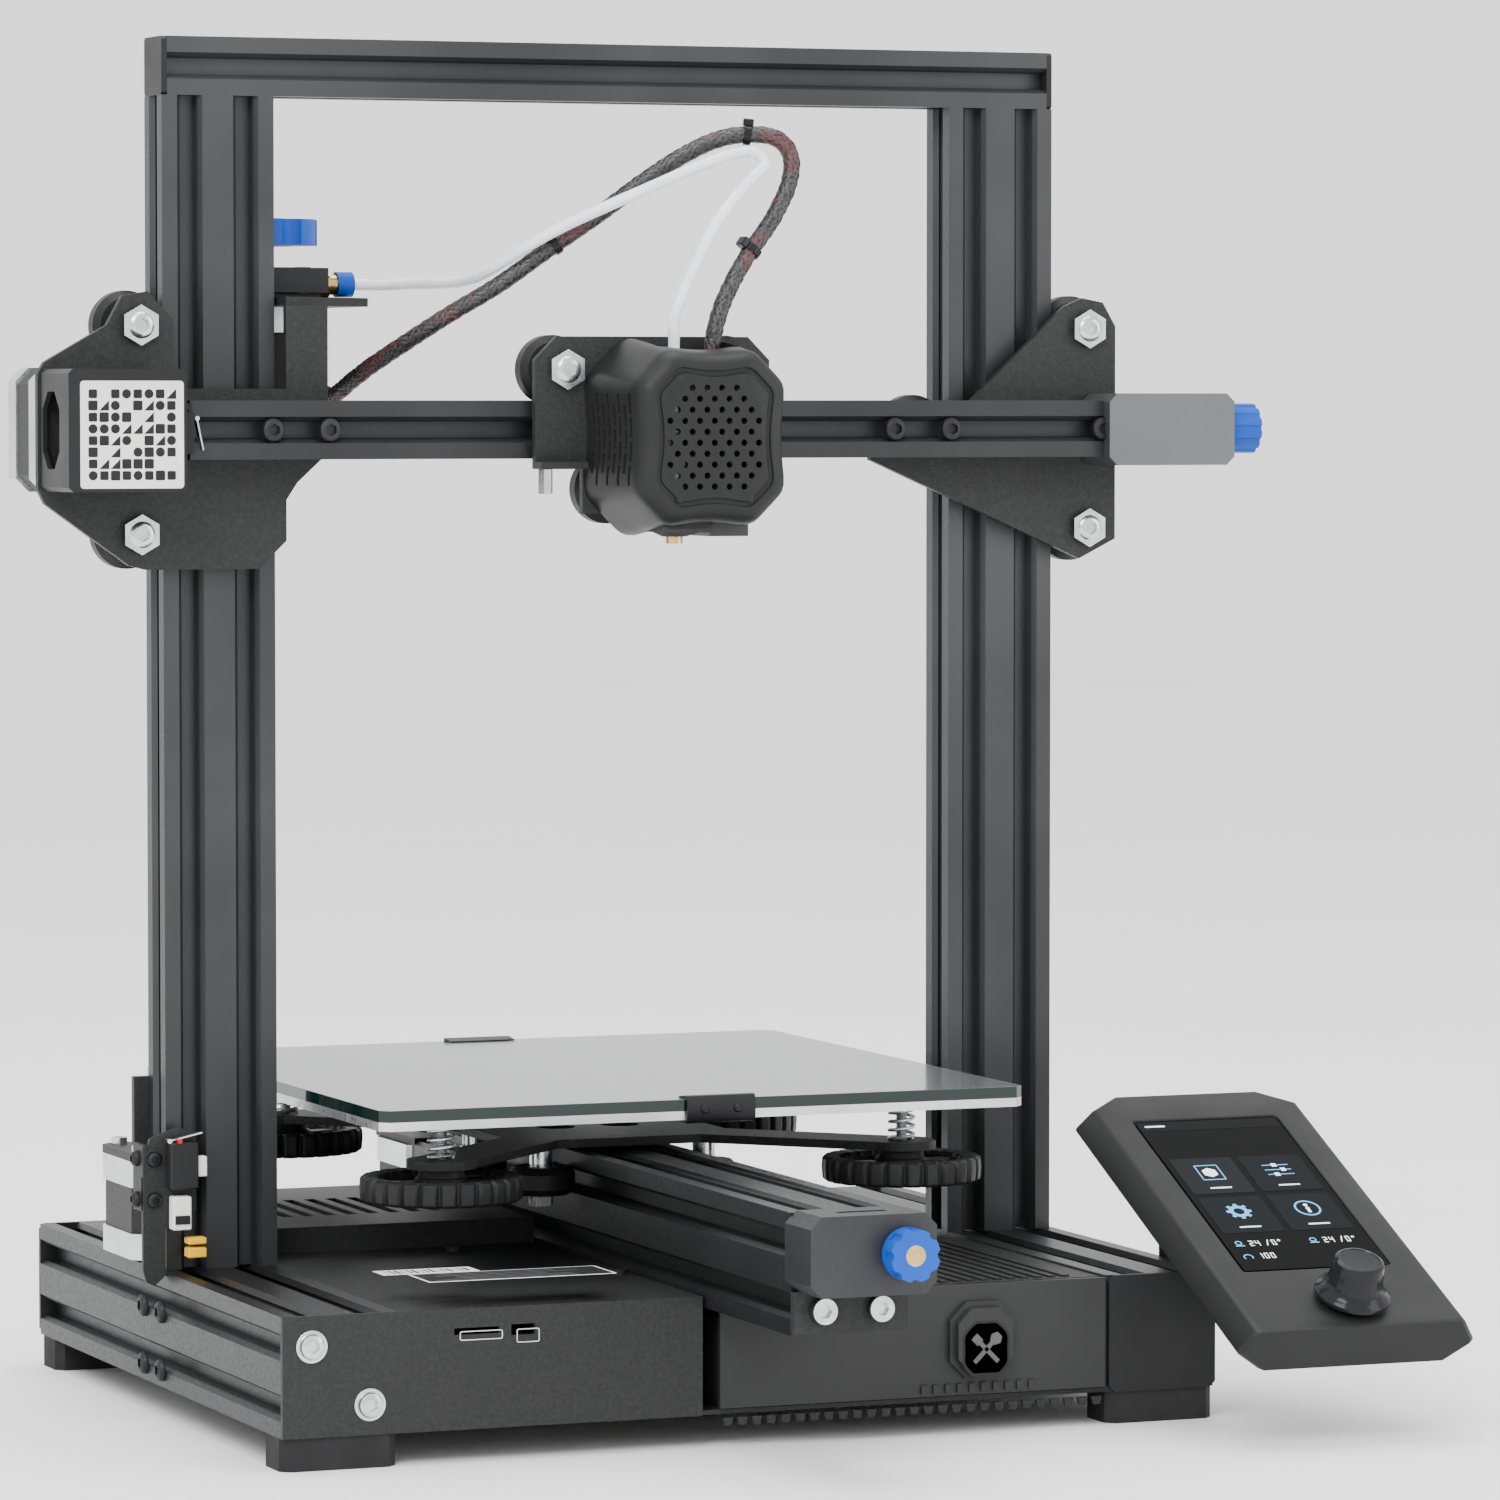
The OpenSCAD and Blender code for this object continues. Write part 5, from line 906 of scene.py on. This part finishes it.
def panel_outline(inset, z, front=0.0, back=0.0):
    """Outline of the display at height z: its sides move in by inset, its front edge by front and its back edge by back."""
    w, l, c = 88 - 2 * inset, 155 - back, 10 - 0.3 * inset
    pts = [(-w / 2, front + 1.6), (-w / 2 + 1.6, front), (w / 2 - 1.6, front), (w / 2, front + 1.6),
           (w / 2, l - c), (w / 2 - 1.4 * c, l), (-w / 2 + 1.4 * c, l), (-w / 2, l - c)]
    return [(x, s, z) for x, s in pts]


b = Build()
b.loft([panel_outline(9.5, -15.5, 0.3, 6), panel_outline(9, -15.2, 0, 5.5), panel_outline(0.6, -9.2, 0, 0.4), panel_outline(0, -8.4),
        panel_outline(0.2, -7.6), panel_outline(4.6, -0.9, 0, 2), panel_outline(5.2, -0.3, 0.2, 2.5),
        panel_outline(6, 0, 1, 3.2)], 0, True, PANEL)
case = make("display_shell", b, m_grey_plastic)
tool = Build()
tool.loft([[(x, SCREEN_S + s, z) for x, s in rounded(0, 0, SCREEN_W + 1.6 + g, SCREEN_L + 1.6 + g, 1.5)] for z, g in
           ((-1.05, 0), (-0.4, 0), (0.4, 1.8))], 0, True, PANEL)
tool.lathe([(3.4, -20), (3.4, 3)], 0, PANEL @ Matrix.Translation((3, 16.5, 0)), 24)
cut(case, make("display_tool", tool, m_grey_plastic))
bevel_edges(case, 0.0004, 2, 30)
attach(case, "frame")
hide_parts("display_case")
b = Build()
half = 110
under = [(6, 40.5 + 86 * math.tan(TILT) - 15.5 / math.cos(TILT)), (46, 40.5 + 126 * math.tan(TILT) - 15.5 / math.cos(TILT))]
base_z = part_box("base_rails")[0][2] * 1000
rail_x = (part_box("base_rails")[1][0] - OX) * 1000
plate = [(6, base_z + 5), (46, base_z + 5), (46, under[1][1] - 0.2), (6, under[0][1] - 0.2)]
b.loft([[(rail_x + dx, y, z) for y, z in plate] for dx in (0.05, 2.5)], 0, True, MM)
for y in (14, 38):
    screw(b, (rail_x + 2.5, y, base_z + 16), (1, 0, 0), 3.6, 2.4, 1)
ob = make("display_bracket", b, [m_sheet, m_black_steel], "frame", 0.0003)


def lit(name, color, strength):
    n = Nodes(name)
    cells = n.cells(2600, "DISTANCE_TO_EDGE")
    col = n.mix(n.span(cells, 0.02, 0.1), tuple(c * 0.8 for c in color), color)
    n.put(n.bsdf.inputs["Base Color"], col)
    n.put(n.bsdf.inputs["Emission Color"], col)
    n.bsdf.inputs["Emission Strength"].default_value = strength
    n.bsdf.inputs["Specular IOR Level"].default_value = 0.04
    n.put(n.bsdf.inputs["Roughness"], n.span(n.noise(300, 2), 0.3, 0.7, 0.16, 0.26))
    n.link(n.bump(cells, 0.03, 0.00005), n.bsdf.inputs["Normal"])
    return n.mat


ui = [lit("ui_black", (0.001, 0.0011, 0.0013), 0.05), lit("ui_tile", (0.004, 0.006, 0.0075), 0.4), lit("ui_white", (0.8, 0.84, 0.88), 0.8),
      lit("ui_pale_blue", (0.12, 0.36, 0.62), 0.8), lit("ui_bar", (0.003, 0.004, 0.005), 0.4),
      lit("ui_selected", (0.008, 0.0095, 0.011), 0.4)]
b = Build()
UI = PANEL @ Matrix.Translation((0, SCREEN_S, 0))
SEGMENTS = {"0": "abcdef", "1": "bc", "2": "abged", "4": "fgbc"}


def digit(b, x, y, ch, h=3.2, m=2):
    w, t = h * 0.46, 0.3
    bars = {"a": (0, h - t, w, h), "g": (0, h / 2 - t / 2, w, h / 2 + t / 2), "d": (0, 0, w, t), "f": (0, h / 2, t, h),
            "b": (w - t, h / 2, w, h), "e": (0, 0, t, h / 2), "c": (w - t, 0, w, h / 2)}
    for s in SEGMENTS[ch]:
        x0, y0, x1, y1 = bars[s]
        b.box((x + x0, y + y0, -0.2), (x + x1, y + y1, -0.12), m, UI)


def arc_band(b, cx, cy, r, t, a0, a1, m, steps=20):
    pts = [(cx + (r + t) * math.cos(a0 + (a1 - a0) * i / steps), cy + (r + t) * math.sin(a0 + (a1 - a0) * i / steps)) for i in range(steps + 1)]
    pts += [(cx + r * math.cos(a1 + (a0 - a1) * i / steps), cy + r * math.sin(a1 + (a0 - a1) * i / steps)) for i in range(steps + 1)]
    flat_plate(b, pts, -0.2, -0.12, m, UI)


flat_plate(b, rounded(0, 0, SCREEN_W, SCREEN_L, 0.8), -0.95, -0.3, 0, UI)
flat_plate(b, rounded(0, 45.2, SCREEN_W - 0.6, 5.6, 0.3), -0.3, -0.25, 4, UI)
for i, (x, y) in enumerate(((-13, 12), (13, 12), (-13, -13.5), (13, -13.5))):
    flat_plate(b, rounded(x, y, 23.4, 23, 1), -0.3, -0.22, 5 if i == 0 else 1, UI)
# Icons: a sheet with a cube, three sliders, a toothed wheel, a ring with a dot
x, y = -13, 14
for s in (-1, 1):
    b.box((x + s * 4.2 - 0.2, y - 4.6, -0.22), (x + s * 4.2 + 0.2, y + 4.6, -0.12), 3, UI)
    b.box((x - 4.2, y + s * 4.6 - 0.2, -0.22), (x + 4.2, y + s * 4.6 + 0.2, -0.12), 3, UI)
flat_plate(b, disc(x, y, 2.9, 6, math.pi / 6), -0.22, -0.12, 2, UI)
x, y = 13, 14
for i, k in enumerate((-1.5, 2, -0.4)):
    b.box((x - 5, y - 3 + i * 3 - 0.2, -0.22), (x + 5, y - 3 + i * 3 + 0.2, -0.14), 3, UI)
    b.box((x + k - 0.9, y - 3 + i * 3 - 1, -0.22), (x + k + 0.9, y - 3 + i * 3 + 1, -0.12), 2, UI)
x, y = -13, -11.5
arc_band(b, x, y, 2.0, 1.6, 0, 2 * math.pi, 3, 28)
for i in range(8):
    a = math.pi / 4 * i
    flat_plate(b, [(x + 3.4 * math.cos(a - 0.2), y + 3.4 * math.sin(a - 0.2)), (x + 4.7 * math.cos(a - 0.15), y + 4.7 * math.sin(a - 0.15)),
                   (x + 4.7 * math.cos(a + 0.15), y + 4.7 * math.sin(a + 0.15)), (x + 3.4 * math.cos(a + 0.2), y + 3.4 * math.sin(a + 0.2))],
               -0.22, -0.12, 3, UI)
x, y = 13, -11.5
arc_band(b, x, y, 4.1, 0.7, 0, 2 * math.pi, 3, 28)
flat_plate(b, disc(x, y + 2, 0.8), -0.22, -0.12, 2, UI)
b.box((x - 0.6, y - 2.6, -0.22), (x + 0.6, y + 0.6, -0.12), 2, UI)
# A short plain bar under each icon stands for its caption
for x, y in ((-13, 4), (13, 4), (-13, -21.5), (13, -21.5)):
    b.box((x - 4, y - 0.35, -0.22), (x + 4, y + 0.35, -0.12), 2, UI)
b.box((-24.5, 44.9, -0.25), (-17, 45.7, -0.12), 2, UI)
for x0, y0, text in ((-18, -33.5, "24"), (10, -33.5, "24"), (-18, -41.5, "100")):
    for i, ch in enumerate(text):
        digit(b, x0 + i * 2.3, y0, ch)
for x0 in (-12, 16):
    flat_plate(b, [(x0, -33.6), (x0 + 0.4, -33.6), (x0 + 1.6, -30.1), (x0 + 1.2, -30.1)], -0.22, -0.12, 2, UI)
    digit(b, x0 + 2.4, -33.5, "0")
    arc_band(b, x0 + 5.4, -30.8, 0.35, 0.22, 0, 2 * math.pi, 2, 12)
    b.box((x0 - 11.5, -33.4, -0.22), (x0 - 8.2, -32.9, -0.12), 3, UI)
    arc_band(b, x0 - 9.9, -31.4, 0.9, 0.4, 0, 2 * math.pi, 3, 14)
arc_band(b, -22, -40.4, 1.4, 0.4, -0.6, math.pi + 0.6, 3, 16)
ob = make("screen_picture", b, ui, "frame")
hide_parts("display_screen")
b = Build()
b.lathe([(12.6, 0), (13, 0.4), (13, 1.4), (12.7, 1.9), (11.6, 2.6), (10.7, 3.6), (9.9, 5), (9.4, 6.4), (9.1, 9), (8.8, 12.4), (8.4, 13.4),
         (7.7, 13.9), (7.2, 14), (6.9, 13.7), (4, 13.62), (1, 13.6)], 0, PANEL @ Matrix.Translation((3, 16.5, 1.9)), 96, True,
        lambda i, a: 1 - (0.012 * (0.5 + 0.5 * math.cos(24 * a)) if 5 <= i <= 9 else 0))
ob = make("dial", b, m_gloss, "encoder_knob", 0, 30)
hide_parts("encoder_knob")

# Label on the X motor's cover: a mosaic of plain shapes
cover_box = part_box("x_motor_cover")
face_y = (cover_box[0][1] - OY) * 1000
b = Build()
flat_plate(b, rounded(-189.6, 337.6, 36, 36, 1.2), 0, 0.12, 0, MM @ Matrix(((1, 0, 0, 0), (0, 0, -1, face_y), (0, 1, 0, 0), (0, 0, 0, 1))))
LABEL = MM @ Matrix(((1, 0, 0, 0), (0, 0, -1, face_y), (0, 1, 0, 0), (0, 0, 0, 1)))
for i in range(8):
    for j in range(8):
        x, y = -189.6 + (i - 3.5) * 3.9, 337.6 + (j - 3.5) * 3.9
        kind = (i * 3 + j * 5 + (i * j) % 3) % 4
        ringed = max(abs(i - 3.5), abs(j - 3.5))
        if ringed > 3 and (i + j) % 2:
            flat_plate(b, rounded(x, y, 3, 3, 0.5), 0.12, 0.17, 1, LABEL)
        elif kind == 0:
            flat_plate(b, disc(x, y, 1.6, 16), 0.12, 0.17, 1, LABEL)
        elif kind == 1:
            flat_plate(b, [(x - 1.7, y - 1.7), (x + 1.7, y - 1.7), (x + 1.7, y + 1.7)], 0.12, 0.17, 1, LABEL)
        elif kind == 2:
            flat_plate(b, rounded(x, y, 3.3, 3.3, 0.5), 0.12, 0.17, 1, LABEL)
ob = make("cover_label", b, [m_white, m_plastic], "gantry")

# Screws in the X beam's slot
b = Build()
for x in (-135.8, -115.5, 93.2, 114.6, 173.1):
    screw(b, (x, 106.2, 339), (0, -1, 0), 4.1, 2.3, 0)
ob = make("beam_screws", b, m_black_steel, "gantry", 0.0001)

# Toothed strip and lid labels of the base
b = Build()
for i in range(27):
    x = -11.8 + i * 5.2
    b.loft([[(x - 1.9, y, 9.9), (x + 1.9, y, 9.9), (x + 1.2, y, 7.2), (x - 1.2, y, 7.2)] for y in (0.05, 1.6)], 0, True, MM)
ob = make("front_teeth", b, m_sheet, "frame", 0.0001)
b = Build()
lid_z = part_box("electronics_lid")[1][2] * 1000
LID = MM @ Matrix.Translation((0, 0, lid_z))
flat_plate(b, rounded(-108, 30, 34, 12, 0.6), 0.02, 0.1, 0, LID)
for i in range(15):
    flat_plate(b, rounded(-122 + i * 2, 30, 0.5 + 0.4 * (i * 7 % 3), 8, 0.15), 0.1, 0.13, 1, LID)
flat_plate(b, rounded(-84, 12, 66, 22, 1), 0.02, 0.1, 0, LID)
flat_plate(b, rounded(-84, 12, 64.4, 20.4, 0.6), 0.1, 0.12, 1, LID)
for i in range(5):
    flat_plate(b, rounded(-88 + (i % 2) * 3, 4.6 + i * 3.4, 50 - 9 * (i % 3), 1, 0.3), 0.12, 0.15, 2, LID)
ob = make("lid_labels", b, [m_white, m_plastic, m_grey_metal], "frame")

# Metal mouths of the two sockets in the front plate
b = Build()
for x0, x1, z0, z1 in ((-106.4, -92.3, 40.9, 43.1), (-86.5, -79.4, 39.3, 43)):
    b.loft([[(x, y, z) for x, z in ring] for y, ring in (
        (0.1, rounded((x0 + x1) / 2, (z0 + z1) / 2, x1 - x0 + 1.2, z1 - z0 + 1.2, 0.8)),
        (-0.25, rounded((x0 + x1) / 2, (z0 + z1) / 2, x1 - x0 + 0.9, z1 - z0 + 0.9, 0.7)),
        (-0.25, rounded((x0 + x1) / 2, (z0 + z1) / 2, x1 - x0 + 0.3, z1 - z0 + 0.3, 0.5)),
        (3, rounded((x0 + x1) / 2, (z0 + z1) / 2, x1 - x0 + 0.3, z1 - z0 + 0.3, 0.5)))], 0, False, MM)
    b.box((x0 + 1, 1.4, (z0 + z1) / 2 - 0.35), (x1 - 1, 3, (z0 + z1) / 2 + 0.35), 1, MM, 0.1)
ob = make("front_sockets", b, [m_steel, m_plastic], "frame")

# Switch of the Z axis: bracket, switch body, plugs and screws in front of the rail
b = Build()
px0, px1, py = -176, -157, 128
flat_plate(b, [(px0, 52), (px0, 84), (px0 + 2.5, 97), (px1 - 6, 101), (px1, 97), (px1, 72), (px0 + 8, 66), (px0 + 8, 50), (px0 + 4, 46.5), (px0 + 1, 48)],
           0, 2, 0, MM @ Matrix(((1, 0, 0, 0), (0, 0, 1, py), (0, 1, 0, 0), (0, 0, 0, 1))))
b.box((-168, py - 6.5, 80), (-158, py - 0.1, 96), 1, MM, 0.5)
b.box((-165.5, py - 7, 95.6), (-163.8, py - 3, 97.2), 2, MM, 0.3)
b.box((-167, py - 6, 66), (-160.5, py - 0.5, 77.5), 3, MM, 0.4)
b.box((-166.4, py - 6.6, 68), (-161.2, py - 5.6, 71), 1, MM, 0.1)
b.box((-158.6, py - 5, 84), (-154.6, py - 1, 91), 3, MM, 0.3)
for z in (76, 90):
    screw(b, (px0 + 4, py, z), (0, -1, 0), 2.7, 2, 4)
    screw(b, (px0, py + 6, z), (-1, 0, 0), 2.7, 2.4, 4)
b.box((px0, py + 0.1, 72), (px0 + 2, py + 12, 95), 0, MM, 0.3)
b.box((-161, py - 4, 56), (-154.5, py + 1.5, 59.5), 5, MM, 0.4)
b.box((-161, py - 4, 60.6), (-154.5, py + 1.5, 63), 5, MM, 0.4)
ob = make("z_switch_group", b, [m_sheet, m_plastic, m_red, m_white, m_black_steel, m_yellow], "frame", 0.0002)
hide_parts("z_endstop")
b = Build()
flat_plate(b, rounded(-150.5, 70, 30, 26, 0.8), 0, 0.12, 0, MM @ Matrix(((1, 0, 0, 0), (0, 0, -1, 154), (0, 1, 0, 0), (0, 0, 0, 1))))
ob = make("z_motor_label", b, m_white, "frame")

# Screws with hexagon recesses on the front plate, the rails and the wheels
b = Build()
for x, z in ((-158, 41), (-138, 21)):
    screw(b, (x, 0, z), (0, -1, 0), 4.4, 2.4, 0)
    b.lathe([(5.4, 0), (5.4, 0.4), (4.2, 0.5)], 0, on((x, 0, z), (0, -1, 0)), 28)
for s in (-1, 1):
    for dy in (-10, 10):
        for dz in (-10, 10):
            screw(b, (s * 168, 142 + dy, 27 + dz), (s, 0, 0), 3.9, 2.4, 1)
ob = make("frame_screw_heads", b, [m_steel, m_black_steel], "frame", 0.0001)
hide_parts("frame_screws")
for piece, node, body, spots in (("gantry_wheel_screws", "gantry_wheels", "gantry", [(s * 176.6, z) for s in (-1, 1) for z in (374.5, 303.5)]),
                                 ("carriage_wheel_screws", "carriage_wheels", "carriage", [(-32, 359.6)])):
    front = (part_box(node)[0][1] - OY) * 1000
    b = Build()
    for x, z in spots:
        screw(b, (x, front + 0.4, z), (0, -1, 0), 4.6, 1.6, 0)
        b.lathe([(7, 0), (7, 0.5), (5, 0.6)], 0, on((x, front + 0.5, z), (0, -1, 0)), 6)
    ob = make(piece, b, m_steel, body, 0.0001)

# Pull of the drawer: a cushion with two crossed tools
drawer_y = (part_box("drawer")[0][1] - OY) * 1000
b = Build()
pull_x, pull_z = 80.2, 28.8
b.loft([cushion(pull_x, pull_z, 19, 21, 5.5, 0.7, k, drawer_y + y, 6) for k, y in ((0, 0.6), (0, 0.1), (0.5, -0.05), (1.2, 0.0))], 0, True, MM)
for s in (-1, 1):
    at = MM @ Matrix.Translation((pull_x, drawer_y - 0.02, pull_z)) @ Matrix.Rotation(s * math.radians(45), 4, "Y")
    b.box((-0.8, -0.35, -6.2), (0.8, 0.4, 3.4), 1, at, 0.1)
    if s > 0:
        b.lathe([(2.3, -0.35), (2.3, 0.3)], 1, at @ Matrix.Translation((0, 0, 5)) @ Matrix.Rotation(math.pi / 2, 4, "X"), 6)
    else:
        b.box((-1.5, -0.35, 3), (1.5, 0.4, 6.4), 1, at, 0.2)
ob = make("drawer_pull", b, [m_plastic, material("pull_mark", "plastic", (0.09, 0.09, 0.092))], "drawer", 0.0002)
